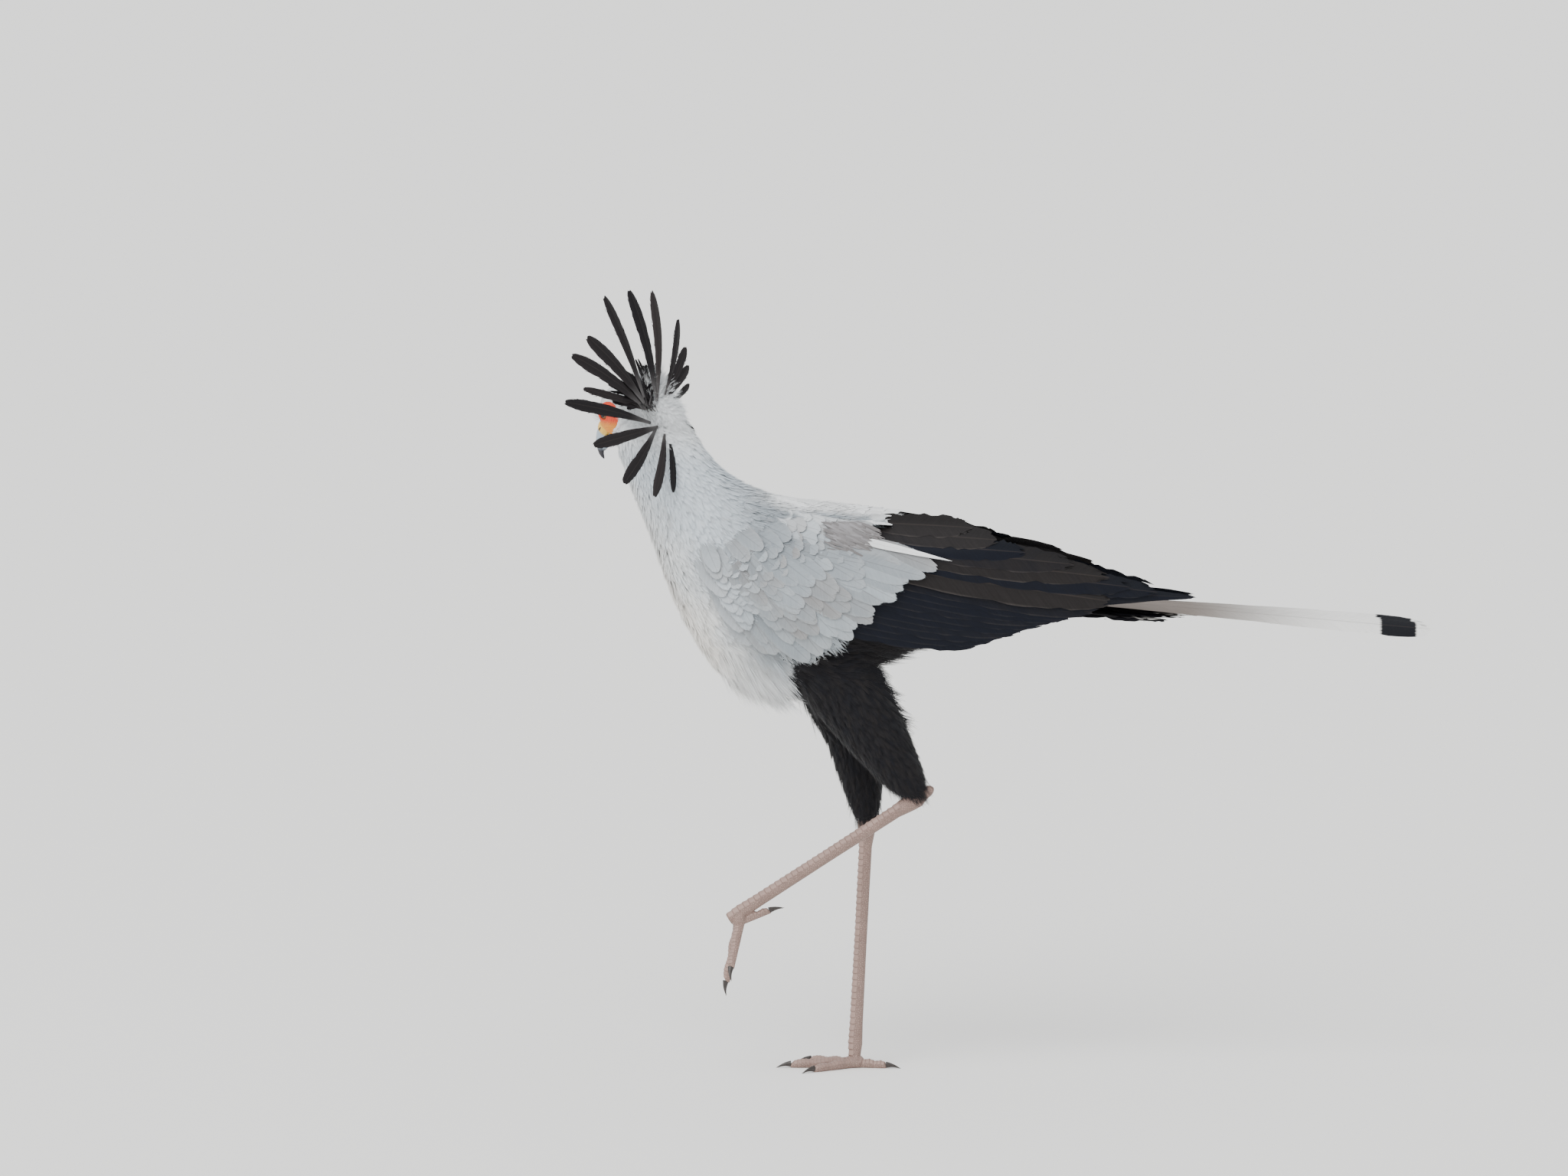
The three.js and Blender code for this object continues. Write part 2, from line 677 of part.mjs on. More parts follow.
function covertWing(side) {
  const shoulder = wingBlock(side, SHOULDER.outline, SHOULDER.depth).subtract(grownTrunk);
  let body = solid(covertShell(side)).add(shoulder);
  COVERTS.rows.forEach(({ count, length, width }, row) => {
    for (let i = 0; i < count; i += 1) {
      const t = (i + 0.25 + 0.5 * (row % 2)) / count;
      const aim = radians(COVERTS.aim[0] + (COVERTS.aim[1] - COVERTS.aim[0]) * t);
      const back = [-Math.cos(aim), -Math.sin(aim)];
      const long = (length[0] + (length[1] - length[0]) * t) * draw(0.06);
      const edgeTip = bend(COVERTS.tips, t);
      const tip = edgeTip.map((v, k) => v + back[k] * COVERTS.rowStep * row);
      const root = tip.map((v, k) => v + back[k] * long);
      const shelf = row === 0 ? COVERTS.shelfDepth : covertShellDepth(...tip) + COVERTS.tipDepth;
      body = body.add(wingFeather(side, {
        root,
        tip,
        width: width * draw(0.08),
        depth: [covertShellDepth(...root) + COVERTS.rootDepth, shelf],
        thick: LAYER.coverts.thick,
        tilt: COVERTS.tilt,
        steps: 2,
      }));
    }
  });
  return shapeOf(body);
}

function secondaryWing(side) {
  let body = wingBlock(side, SECONDARIES.block, LAYER.secondaries.block);
  const { vanes, thick } = LAYER.secondaries;
  const feathers = Array.from({ length: SECONDARIES.count }, (_, i) => {
    const t = i / (SECONDARIES.count - 1);
    return {
      root: mix(...SECONDARIES.roots, t),
      tip: mix(...SECONDARIES.tips, t * draw(0.03)),
      width: SECONDARIES.width * draw(0.05),
    };
  });
  for (const feather of [...feathers, ...TERTIALS]) {
    const depth = [vanes, vanes];
    body = body.add(wingFeather(side, {
      ...feather, depth, thick, tilt: SECONDARIES.tilt, steps: 3,
    }));
  }
  return shapeOf(body);
}

function primaryWing(side) {
  let body = wingBlock(side, PRIMARIES.block, LAYER.primaries.block);
  const { vanes, thick } = LAYER.primaries;
  for (let i = 0; i < PRIMARIES.count; i += 1) {
    const t = i / (PRIMARIES.count - 1);
    body = body.add(wingFeather(side, {
      root: mix(...PRIMARIES.roots, t),
      tip: mix(...PRIMARIES.tips, t),
      width: PRIMARIES.width,
      depth: [vanes, vanes],
      thick,
      tilt: PRIMARIES.tilt,
      steps: 3,
      point: PRIMARIES.point,
    }));
  }
  return shapeOf(body);
}

for (const [name, side] of [['left', -1], ['right', 1]]) {
  addPart(`wing_${name}_coverts`, covertWing(side), PALE_GREY);
  addPart(`wing_${name}_secondaries`, secondaryWing(side), BLACK);
  addPart(`wing_${name}_primaries`, primaryWing(side), BLACK);
}

// Tail feather lying flat: from the rump back to a tip at [x, y, z], bowed down by sag, and
// turned about its length by roll degrees
function tailFeather({ from, tip, width, sag, roll = 0, steps }) {
  const along = tip.clone().sub(from).normalize();
  const across = at(-along.y, along.x, 0).normalize();
  across.applyAxisAngle(along, radians(roll));
  const facing = along.clone().cross(across).normalize();
  const stops = Array.from({ length: steps + 1 }, (_, i) => i / steps);
  stops[steps - 1] = Math.max(0.95, stops[steps - 1]);
  return solid(vane({
    steps: stops,
    line: (t) => from.clone().lerp(tip, t).add(at(0, 0, -sag * Math.sin(Math.PI * t))),
    across: () => across,
    facing: () => facing,
    half: (t) => (width * between(BLADE_SHAPE, t)) / 2,
    thick: TAIL_VANE.thick,
    camber: TAIL_VANE.camber,
    point: TAIL_VANE.point * width,
  }));
}

function middleFeather(side) {
  const { tip, sag, width, apart, over, shorter } = MIDDLE_PAIR;
  const [rootX, rootZ] = TAIL_FROM;
  const lift = (side * over) / 2;
  return tailFeather({
    from: at(rootX, side * apart, rootZ + lift),
    tip: at(tip[0] - (side > 0 ? shorter : 0), side * apart * 0.8, tip[1] + lift),
    width,
    sag,
    steps: 5,
  });
}

// Each side feather lies on a level of its own, the outermost lowest
function sideFeather(side, i) {
  const { pairs, longest, shorter, width, spread, step, tipHeight, sag } = SIDE_FEATHERS;
  const [rootX, rootZ] = TAIL_FROM;
  const wide = spread[0] + ((spread[1] - spread[0]) * i) / (pairs - 1);
  const drop = step * (2 * i + (side > 0 ? 1 : 2));
  return tailFeather({
    from: at(rootX, side * wide * 0.5, rootZ - MIDDLE_PAIR.over - drop),
    tip: at(rootX + longest - shorter * i, side * wide, tipHeight - drop),
    width,
    sag,
    steps: 3,
  });
}

function tailCovert(side, i) {
  const { length, shorter, width, from, lift, beside, fan, sag, roll } = TAIL_COVERTS;
  const wide = beside[0] + beside[1] * i;
  const rootZ = TAIL_FROM[1] + side;
  return tailFeather({
    from: at(from, side * wide, rootZ + lift[0]),
    tip: at(from + length - shorter * i, side * (wide + fan), rootZ + lift[1]),
    width,
    sag,
    roll: -side * roll,
    steps: 3,
  });
}

function tail() {
  const rings = RUMP.map(([x, wide, z, thick]) => (
    ring(at(x, 0, z), WIDTHWAYS, UPWARD, wide, thick / 2, 12)));
  let body = solid(loft(rings));
  for (const side of [1, -1]) {
    body = body.add(middleFeather(side));
    for (let i = 0; i < SIDE_FEATHERS.pairs; i += 1) body = body.add(sideFeather(side, i));
    for (let i = 0; i < TAIL_COVERTS.pairs; i += 1) body = body.add(tailCovert(side, i));
  }
  return shapeOf(body.subtract(grownTrunk));
}
addPart('tail', tail(), TAIL_PALE);

// Legs
function thigh(stations) {
  const rings = stations.map(([x, y, z, long, wide], i) => {
    const before = stations[Math.max(0, i - 1)];
    const after = stations[Math.min(stations.length - 1, i + 1)];
    const along = at(after[0] - before[0], 0, after[2] - before[2]).normalize();
    const forward = at(-along.z, 0, along.x);
    return ring(at(x, y, z), WIDTHWAYS, forward, wide, long, 14);
  });
  return solid(loft(rings)).subtract(grownTrunk);
}

function shankAxes(hock, ankle) {
  const along = ankle.clone().sub(hock);
  const length = along.length();
  along.normalize();
  const across = along.clone().cross(at(1, 0, 0.3)).normalize();
  const forward = across.clone().cross(along).normalize();
  return { along, length, across, forward };
}

const shankRadius = (length) => [
  ...SHANK_TOP,
  [length / 2, SHANK_MIDDLE],
  ...SHANK_END.map(([above, radius]) => [length - above, radius]),
];

// Shank, with the plates down its front raised in its own surface
function shank(hock, ankle, grow = 0) {
  const { along, length, across, forward } = shankAxes(hock, ankle);
  const front = forward.x < 0 ? forward : forward.clone().negate();
  const radii = shankRadius(length);
  const pitch = (SCUTES.to - SCUTES.from) / SCUTES.count;
  const stations = radii.filter(([s]) => s < SCUTES.from || s > SCUTES.to).map(([s]) => [s, 0]);
  for (let i = 0; i <= SCUTES.count; i += 1) {
    stations.push([SCUTES.from + i * pitch, i < SCUTES.count ? 0 : SCUTES.raise]);
    if (i > 0) stations.push([SCUTES.from + i * pitch - SCUTES.lip, SCUTES.raise]);
  }
  stations.sort((a, b) => a[0] - b[0]);
  const rings = stations.map(([s, raise]) => {
    const radius = between(radii, s) + grow;
    const wide = radius * SHANK.flatten;
    const centre = hock.clone().addScaledVector(along, s);
    return ring(centre, across, front, wide, radius, SHANK.sides).map((p, i) => {
      const facing = Math.sin((2 * Math.PI * i) / SHANK.sides);
      return facing > SCUTES.reach ? p.clone().addScaledVector(front, raise * facing) : p;
    });
  });
  return loft(rings);
}

// Foot in its own frame: standing on z = 0 with the ankle above the origin, toes along +x
function footPad(grow = 0) {
  const pad = new THREE.SphereGeometry(1, 10, 8);
  pad.scale(FOOT.pad + grow, FOOT.pad + grow - 1, FOOT.high + grow);
  return pad.translate(0, 0, FOOT.high + FOOT.lift);
}

// Turns a toe or claw to its place; the hind toe of a lifted foot is bent down at its root
function placedToe(geometry, turn, flex) {
  geometry.translate(0, 0, -FOOT.high).rotateY(radians(flex)).translate(0, 0, FOOT.high);
  return geometry.rotateZ(radians(turn));
}

function toe({ turn, length, thick }, flex, turns, grow = 0) {
  const rings = [];
  for (let i = 0; i <= TOE_STEPS; i += 1) {
    const t = i / TOE_STEPS;
    const knuckle = 1 + KNUCKLE.swell * Math.cos(t * KNUCKLE.count * 2 * Math.PI);
    const radius = thick * (1 - TOE_TAPER * t) * knuckle + grow;
    const along = TOE_START - (1 - t) * 4 * grow + t * (TOE_REACH - TOE_START + length);
    const section = ring(at(along, 0, radius - TOE_FLAT), WIDTHWAYS, UPWARD, radius, radius, 8);
    rings.push(section.map((p) => at(p.x, p.y, Math.max(0, p.z))));
  }
  let body = solid(placedToe(loft(rings), turn, flex));
  for (const other of turns) {
    const apart = other - turn;
    if (apart !== 0 && Math.abs(apart) < 90) {
      const facing = radians((turn + other) / 2 - Math.sign(apart) * 90);
      body = body.trimByPlane([Math.cos(facing), Math.sin(facing), 0], GAP / 2 + 0.01 - 2 * grow);
    }
  }
  return body;
}

// Claw: curved down to rest its end on the ground
function claw({ turn, length, thick }, flex) {
  const base = TOE_REACH + length + GAP;
  const height = thick * (1 - TOE_TAPER) - TOE_FLAT + CLAW.rise;
  const lastStop = CLAW.stops[CLAW.stops.length - 1];
  const rings = CLAW.stops.map((t) => {
    const radius = CLAW.thick * (1 - CLAW.taper * t);
    const fall = (t / lastStop) ** 1.6;
    const centre = at(base + t * CLAW.length, 0, height + (radius - CLAW.flat - height) * fall);
    const section = ring(centre, WIDTHWAYS, UPWARD, radius * 0.8, radius, 8);
    return section.map((p) => at(p.x, p.y, Math.max(0, p.z)));
  });
  const tip = at(base + CLAW.length, 0, CLAW.flat);
  return placedToe(loft(rings, null, tip), turn, flex);
}

// Frame of a foot: under the ankle on the ground, or pitched with its leg where it is lifted
function footFrameOf({ ankle, footPitch }) {
  const frame = new THREE.Matrix4().makeRotationZ(Math.PI);
  if (footPitch === 0) return frame.setPosition(ankle[0], ankle[1], 0);
  frame.premultiply(new THREE.Matrix4().makeRotationY(radians(-footPitch)));
  const lift = at(0, 0, FOOT.high * 2 + FOOT.lift + 1).applyMatrix4(frame);
  return frame.setPosition(ankle[0] - lift.x, ankle[1] - lift.y, ankle[2] - lift.z);
}

for (const [name, leg] of Object.entries(LEGS)) {
  const hock = at(...leg.hock);
  const ankle = at(...leg.ankle);
  const side = name === 'left' ? -1 : 1;
  const footFrame = footFrameOf(leg);
  const footAt = new THREE.Vector3().setFromMatrixPosition(footFrame);
  const soleFacing = at(0, 0, 1).applyMatrix4(footFrame).sub(footAt);
  const soleAt = soleFacing.dot(footAt);
  const pad = solid(moved(footPad(), footFrame)).trimByPlane(soleFacing.toArray(), soleAt);
  const grownShank = solid(shank(hock, ankle, GAP));
  addPart(`thigh_${name}`, shapeOf(thigh(leg.thigh).subtract(grownShank)), BLACK);
  addPart(`tarsus_${name}`, shank(hock, ankle), LEG_PINK);
  addPart(`foot_${name}`, shapeOf(pad.subtract(grownShank)), LEG_PINK);
  const turns = Object.values(TOES).map(({ turn }) => turn * side);
  let taken = solid(moved(footPad(GAP), footFrame)).add(grownShank);
  for (const [toeName, size] of Object.entries(TOES)) {
    const mirrored = { ...size, turn: size.turn * side };
    const flex = toeName === 'hind' ? leg.hindFlex : 0;
    const placed = (grow) => solid(moved(shapeOf(toe(mirrored, flex, turns, grow)), footFrame));
    addPart(`toe_${name}_${toeName}`, shapeOf(placed(0).subtract(taken)), LEG_PINK);
    addPart(`claw_${name}_${toeName}`, moved(claw(mirrored, flex), footFrame), CLAW_BLACK);
    if (leg.hindFlex > 0) taken = taken.add(placed(GAP));
  }
}

// The origin is under the standing foot's pad
bird.position.set(-LEGS.right.ankle[0], -LEGS.right.ankle[1], 0);

export default bird;
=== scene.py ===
# %% [markdown]
# A secretary bird, life size, walks with its head turned away and its crest spread. The packed
# model has its true outline in plain solids. This lesson dresses them: one skin under a coat of
# small feathers, wings and a tail of single feathers, a bare face, a bill, and scaly legs.
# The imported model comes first, because everything else is placed by it.

import math

import bmesh
import bpy
import numpy as np
from mathutils import Matrix, Vector
from mathutils.bvhtree import BVHTree
from mathutils.kdtree import KDTree


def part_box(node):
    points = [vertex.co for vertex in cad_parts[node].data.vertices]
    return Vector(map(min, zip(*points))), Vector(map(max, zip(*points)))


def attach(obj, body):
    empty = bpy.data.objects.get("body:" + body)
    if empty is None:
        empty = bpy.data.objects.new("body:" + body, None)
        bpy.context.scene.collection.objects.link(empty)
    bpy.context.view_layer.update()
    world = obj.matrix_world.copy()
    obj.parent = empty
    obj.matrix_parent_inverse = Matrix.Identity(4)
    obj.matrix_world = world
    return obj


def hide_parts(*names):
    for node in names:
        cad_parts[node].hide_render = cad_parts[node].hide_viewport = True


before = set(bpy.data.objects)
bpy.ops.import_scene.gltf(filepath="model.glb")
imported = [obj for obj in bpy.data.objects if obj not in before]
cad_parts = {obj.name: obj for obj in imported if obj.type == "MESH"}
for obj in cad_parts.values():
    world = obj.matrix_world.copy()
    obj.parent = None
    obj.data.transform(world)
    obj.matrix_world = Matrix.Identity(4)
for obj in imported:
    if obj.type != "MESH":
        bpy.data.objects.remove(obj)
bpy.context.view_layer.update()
chance = np.random.default_rng(7)
print("nodes in the frame:", len(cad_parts))

# %% [markdown]
# The bird was drawn in millimetres about its own middle plane, and then set down with its
# standing foot on the origin. Working in the drawing's millimetres keeps the numbers readable,
# and one shift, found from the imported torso, turns them into the frame's metres.

# %% The drawing's millimetres and the frame's metres
RUMP_END = 184
torso_low, torso_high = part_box("torso")
SHIFT = np.array([torso_high.x * 1000 - RUMP_END, 500 * (torso_low.y + torso_high.y), 0])
print("the drawing is shifted by", SHIFT.round(1), "mm")


def to_metres(points):
    return (np.asarray(points, float) + SHIFT) / 1000


def to_drawing(points):
    return np.asarray(points, float) * 1000 - SHIFT


def unit(vectors):
    return vectors / np.maximum(np.linalg.norm(vectors, axis=-1, keepdims=True), 1e-9)


def smooth_step(values, low, high):
    share = np.clip((values - low) / (high - low), 0, 1)
    return share * share * (3 - 2 * share)


# %% [markdown]
# Every part of the bird ends as one mesh of four-sided faces. A Piece gathers points and faces,
# with numbers for the materials: the place of the root that a point belongs to, how far it lies
# along and across its feather, and a tone that differs from feather to feather. A material can
# then colour a feather by where it grows, so that skin and feathers share their markings.

# %% Gathering a piece


class Piece:
    """Points, faces and numbers on the way to one Blender object."""

    def __init__(self, cells=1):
        self.cells = cells
        self.points = []
        self.faces = []
        self.patches = []
        self.numbers = {"place": [], "along": [], "across": [], "tone": [], "barb": []}
        self.count = 0
        self.vanes = 0

    def add(self, points, faces, place, patch=None, along=0.0, across=0.0, tone=0.5, barb=0.0):
        """Adds points in millimetres. Each number is one value, or one for each point."""
        size = len(points)
        self.points.append(points)
        self.faces.append(np.asarray(faces) + self.count)
        self.numbers["place"].append(np.broadcast_to(place, (size, 3)))
        for name, value in (("along", along), ("across", across), ("tone", tone), ("barb", barb)):
            self.numbers[name].append(np.broadcast_to(value, size))
        if patch is not None:
            self.patches.append(patch)
        self.count += size

    def build(self, name, finish, slot, replaces=()):
        """Makes the object, which rides on the bird's one body."""
        faces = np.concatenate(self.faces)
        mesh = bpy.data.meshes.new(name)
        mesh.vertices.add(self.count)
        mesh.vertices.foreach_set("co", to_metres(np.concatenate(self.points)).ravel())
        mesh.loops.add(faces.size)
        mesh.loops.foreach_set("vertex_index", faces.ravel())
        mesh.polygons.add(len(faces))
        mesh.polygons.foreach_set("loop_start", np.arange(0, faces.size, 4))
        mesh.polygons.foreach_set("use_smooth", np.ones(len(faces), bool))
        for key, parts in self.numbers.items():
            kind, field = ("FLOAT_VECTOR", "vector") if key == "place" else ("FLOAT", "value")
            values = np.concatenate(parts).astype(np.float32)
            mesh.attributes.new(key, kind, "POINT").data.foreach_set(field, values.ravel())
        if self.patches:
            corners = np.concatenate(self.patches)[faces.ravel()]
            layer = mesh.uv_layers.new(name="OFBake")
            layer.uv.foreach_set("vector", corners.astype(np.float32).ravel())
        mesh.update(calc_edges=True)
        mesh.validate()
        mesh.materials.append(finish)
        piece = bpy.data.objects.new(name, mesh)
        bpy.context.scene.collection.objects.link(piece)
        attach(piece, "root")
        if replaces:
            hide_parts(*replaces)
        print(f"{name}: {len(mesh.polygons)} faces")
        return piece


def grid_faces(rows, columns, closed=False):
    """Faces between neighbouring points of a grid, joined round where closed."""
    row, column = np.meshgrid(np.arange(rows - 1), np.arange(columns - (not closed)), indexing="ij")
    after = (column + 1) % columns
    corners = [row * columns + column, row * columns + after]
    corners += [(row + 1) * columns + after, (row + 1) * columns + column]
    return np.stack([c.ravel() for c in corners], axis=1)


def add_ribbon(piece, line, aside, half, stops, tone, mapped=None):
    """Adds a strip of faces along a line, reaching half to either side at each of its stops."""
    points = np.stack([line - aside * half, line + aside * half], axis=1).reshape(-1, 3)
    placed = mapped(points) if mapped else points
    along = np.repeat(stops.ravel(), 2)
    piece.add(placed, grid_faces(len(stops), 2), points[0], along=along, tone=tone)


# %% [markdown]
# A finish is a tree of shader nodes. Sums on its wires are written as Python sums: a wire is
# one output socket, and adding or multiplying wires adds the Math nodes, or Vector Math nodes
# where colours or places are involved. Every other node comes from one method.

# %% Wires and finishes


def paint(red, green, blue):
    """A colour as a screen shows it, from 0 to 255, turned into the light it stands for."""
    return tuple(
        (c / 12.92 if c <= 0.04045 else ((c + 0.055) / 1.055) ** 2.4)
        for c in (v / 255 for v in (red, green, blue))
    ) + (1.0,)


class Wire:
    """One output of a finish's nodes, which sums like a number."""

    def __init__(self, finish, socket):
        self.finish, self.socket = finish, socket

    def __add__(self, other):
        return self.finish.sum("ADD", self, other)

    __radd__ = __add__

    def __sub__(self, other):
        return self.finish.sum("SUBTRACT", self, other)

    def __rsub__(self, other):
        return self.finish.sum("SUBTRACT", other, self)

    def __mul__(self, other):
        return self.finish.sum("MULTIPLY", self, other)

    __rmul__ = __mul__

    def __abs__(self):
        return self.finish.sum("ABSOLUTE", self, 0)

    def above(self, low, high):
        """0 below low, 1 above high, smooth between; low may be the greater of the two."""
        return self.finish.node(
            "ShaderNodeMapRange",
            {"interpolation_type": "SMOOTHSTEP"},
            {"Value": self, "From Min": low, "From Max": high},
        )

    def axis(self, index):
        return self.finish.node("ShaderNodeSeparateXYZ", {}, {0: self}, index)


class Finish:
    """A material under construction."""

    def __init__(self, name, constants):
        self.material = bpy.data.materials.new(name)
        self.material.use_nodes = True
        self.tree = self.material.node_tree
        self.shader = self.tree.nodes["Principled BSDF"]
        self.wear(constants)

    def node(self, kind, settings, inputs, output=0):
        """Adds a node: its settings come first, then the values or wires of its sockets."""
        made = self.tree.nodes.new(kind)
        for name, value in settings.items():
            setattr(made, name, value)
        for name, value in inputs.items():
            self.feed(made.inputs[name], value)
        return Wire(self, made.outputs[output])

    def feed(self, socket, value):
        if isinstance(value, Wire):
            self.tree.links.new(value.socket, socket)
        elif hasattr(socket.default_value, "__len__") and not hasattr(value, "__len__"):
            socket.default_value = [value] * len(socket.default_value)
        else:
            socket.default_value = value

    def sum(self, operation, first, second):
        wide = any(isinstance(v, Wire) and v.socket.type != "VALUE" for v in (first, second))
        kind = "ShaderNodeVectorMath" if wide else "ShaderNodeMath"
        return self.node(kind, {"operation": operation}, {0: first, 1: second})

    def number(self, name):
        """A number that the mesh carries."""
        return self.node("ShaderNodeAttribute", {"attribute_name": name}, {}, "Fac")

    def place(self):
        """Where the feather, or the skin itself, grows, in the drawing's millimetres."""
        return self.node("ShaderNodeAttribute", {"attribute_name": "place"}, {}, "Vector")

    def blend(self, share, first, second):
        return self.node(
            "ShaderNodeMix", {"data_type": "RGBA"}, {0: share, 6: first, 7: second}, 2
        )

    def noise(self, where, scale, detail=2.0):
        return self.node(
            "ShaderNodeTexNoise", {}, {"Vector": where, "Scale": scale, "Detail": detail}
        )

    def wear(self, sockets):
        for name, value in sockets.items():
            self.feed(self.shader.inputs[name], value)

    def relief(self, height, depth, strength=0.6):
        """Feeds the shader's normal with a bump: height from 0 to 1, depth in metres."""
        sockets = {"Height": height, "Distance": depth, "Strength": strength}
        self.wear({"Normal": self.node("ShaderNodeBump", {}, sockets)})


# %% [markdown]
# The plumage of the body is cream on the breast, pale blue-grey on the neck and shoulders,
# white on the back, and black from the vent to the hocks. These are soft fields over the
# body, so they are written as smooth steps in the place where each feather grows.

# %% Plumage of the body
CREAM = paint(246, 241, 233)
NECK_BLUE = paint(212, 220, 226)
WING_GREY = paint(160, 168, 174)
BEIGE_GREY = paint(147, 142, 139)
WHITE = paint(243, 244, 244)
BLUE_BLACK = paint(16, 17, 24)
BROWN_BLACK = paint(38, 34, 32)


def pale_plumage(finish, place, cloud):
    """Cream breast, bluish neck, grey wings and white back, throat and nape."""
    x, y, z = (place.axis(i) for i in range(3))
    front = (x * 0.8 + z * 0.5 + cloud * 60).above(222, 120)
    breast = finish.blend(front, finish.blend(x.above(-215, -130), NECK_BLUE, WING_GREY), CREAM)
    white_back = z.above(690, 715) * abs(y).above(48, 28) * x.above(-200, -90)
    white_rump, pale_head = x.above(100, 165), z.above(815, 880)
    low_belly = z.above(600, 540)
    white = (white_back * 0.9 + white_rump * 0.8 + pale_head * 0.7 + low_belly * 0.6).above(0, 1)
    return finish.blend(white, breast, WHITE)


def body_plumage(name, shade_of_root):
    finish = Finish(name, {"Roughness": 0.85, "Sheen Weight": 0.15, "Specular IOR Level": 0.25})
    place, tone = finish.place(), finish.number("tone")
    x, z = place.axis(0), place.axis(2)
    cloud = finish.noise(place, 0.02)
    pale = pale_plumage(finish, place, cloud)
    beige = (finish.noise(place, 0.05) * 0.7 + tone * 0.3).above(0.5, 0.75) * 0.35
    pale = finish.blend(beige * z.above(830, 760), pale, BEIGE_GREY)
    black = (x + cloud * 14).above(-108, -95) * (z - x * 0.08).above(632, 612)
    thigh = z.above(492, 470)
    dark = finish.blend(tone * 0.6, BLUE_BLACK, BROWN_BLACK)
    colour = finish.blend((black + thigh).above(0.3, 0.7), pale, dark)
    strand = finish.number("barb") * 0.12 + 0.94
    # painted shade: each feather is darker towards its root, where the feathers over it would shade
    # it, down to about shade_of_root
    depth = finish.number("along").above(-0.2, 0.55) * (1 - shade_of_root) + shade_of_root
    finish.wear({"Base Color": colour * (strand * depth) * (tone * 0.08 + 0.96)})
    finish.relief(finish.noise(place, 1.6), 0.0003)
    return finish.material


# the skin gets a deeper painted shade than the coat's roots, as painted shade under the feathers
coat_finish = body_plumage("body plumage", 0.88)
skin_finish = body_plumage("skin under the plumage", 0.78)
print("plumage:", coat_finish.name, "and", skin_finish.name)

# %% [markdown]
# The skin is one closed surface under all the feathers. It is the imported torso, neck, head and
# thighs, with the nape and the bases of the wings and tail filled in, melted together by a
# voxel remesh so that no seam is left. It is then drawn in by the depth of the coat. A remesh
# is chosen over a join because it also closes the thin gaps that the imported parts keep.

# %% Sides that the wings lie on
SIDE_WIDTH = (
    [-250, -200, -150, -100, -50, 0, 50, 100, 150, 200, 250, 300, 350, 400, 470],
    [62, 76, 85, 89.5, 91, 89, 84, 77, 69.5, 62, 55, 49, 44.5, 41, 38],
)
SIDE_MIDDLE = ([-250, -100, 100, 300, 470], [690, 655, 650, 648, 640])
SIDE_REACH_UP = ([-250, 100, 300, 470], [116, 122, 180, 230])
SIDE_REACH_DOWN = ([-250, 100, 300, 470], [150, 150, 220, 260])


def on_wing(side, x, depth, z):
    """Points on the folded wing, from the side view's x and z and a depth outside the body."""
    rise = z - np.interp(x, *SIDE_MIDDLE)
    reach = np.where(rise > 0, np.interp(x, *SIDE_REACH_UP), np.interp(x, *SIDE_REACH_DOWN))
    half = np.interp(x, *SIDE_WIDTH) * np.sqrt(np.maximum(0.05, 1 - (rise / reach) ** 2))
    return np.stack([x, side * (half + depth), z], axis=-1)


# the wing's own flesh: its middle, its half length and height, and its depths in millimetres
SHELL = {"x": -76, "z": 668, "long": 129, "high": 71, "edge": 15, "bulge": 6, "inside": -25}


def shell_depth(x, z):
    """Depth of the wing's own flesh, on which the coverts lie."""
    share = 1 - ((x - SHELL["x"]) / SHELL["long"]) ** 2 - ((z - SHELL["z"]) / SHELL["high"]) ** 2
    return SHELL["edge"] + SHELL["bulge"] * np.sqrt(np.maximum(0, share))


def round_form(bm, place_of):
    """Adds a ball to bm, each of its points moved by place_of."""
    ball = bmesh.ops.create_icosphere(bm, subdivisions=4, radius=1)["verts"]
    moved = to_metres(place_of(np.array([v.co for v in ball])))
    for vert, point in zip(ball, moved):
        vert.co = point


def wing_flesh(side):
    def place_of(ball):
        x = SHELL["x"] + 0.93 * SHELL["long"] * ball[:, 0]
        z = SHELL["z"] + 0.9 * SHELL["high"] * ball[:, 2]
        outer = SHELL["edge"] - 4 + SHELL["bulge"] * ball[:, 1]
        depth = np.where(ball[:, 1] > 0, outer, outer + 60 * ball[:, 1])
        return on_wing(side, x, np.maximum(SHELL["inside"], depth), z)

    return place_of


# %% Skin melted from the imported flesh
NAPE_AT = np.array([-272, -12, 904])
NAPE_HALF = (24, 28, 46)
NAPE_LEAN = math.radians(-40)
RUMP_AT = np.array([160, 0, 652])
RUMP_HALF = (72, 33, 19)
SKIN_VOXEL = 0.0026
SKIN_PASSES = 14


def nape_pad(ball):
    turned = np.array(Matrix.Rotation(NAPE_LEAN, 3, "Y"))
    return (ball * NAPE_HALF) @ turned.T + NAPE_AT


def rump(ball):
    return ball * RUMP_HALF + RUMP_AT


def melted(nodes, forms, voxel, passes, grow=0.0004):
    """A smooth closed mesh of the nodes and forms together."""
    bm = bmesh.new()
    for node in nodes:
        bm.from_mesh(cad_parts[node].data)
    bmesh.ops.remove_doubles(bm, verts=bm.verts, dist=1e-5)
    for form in forms:
        round_form(bm, form)
    return melted_form(bm, voxel, passes, grow)


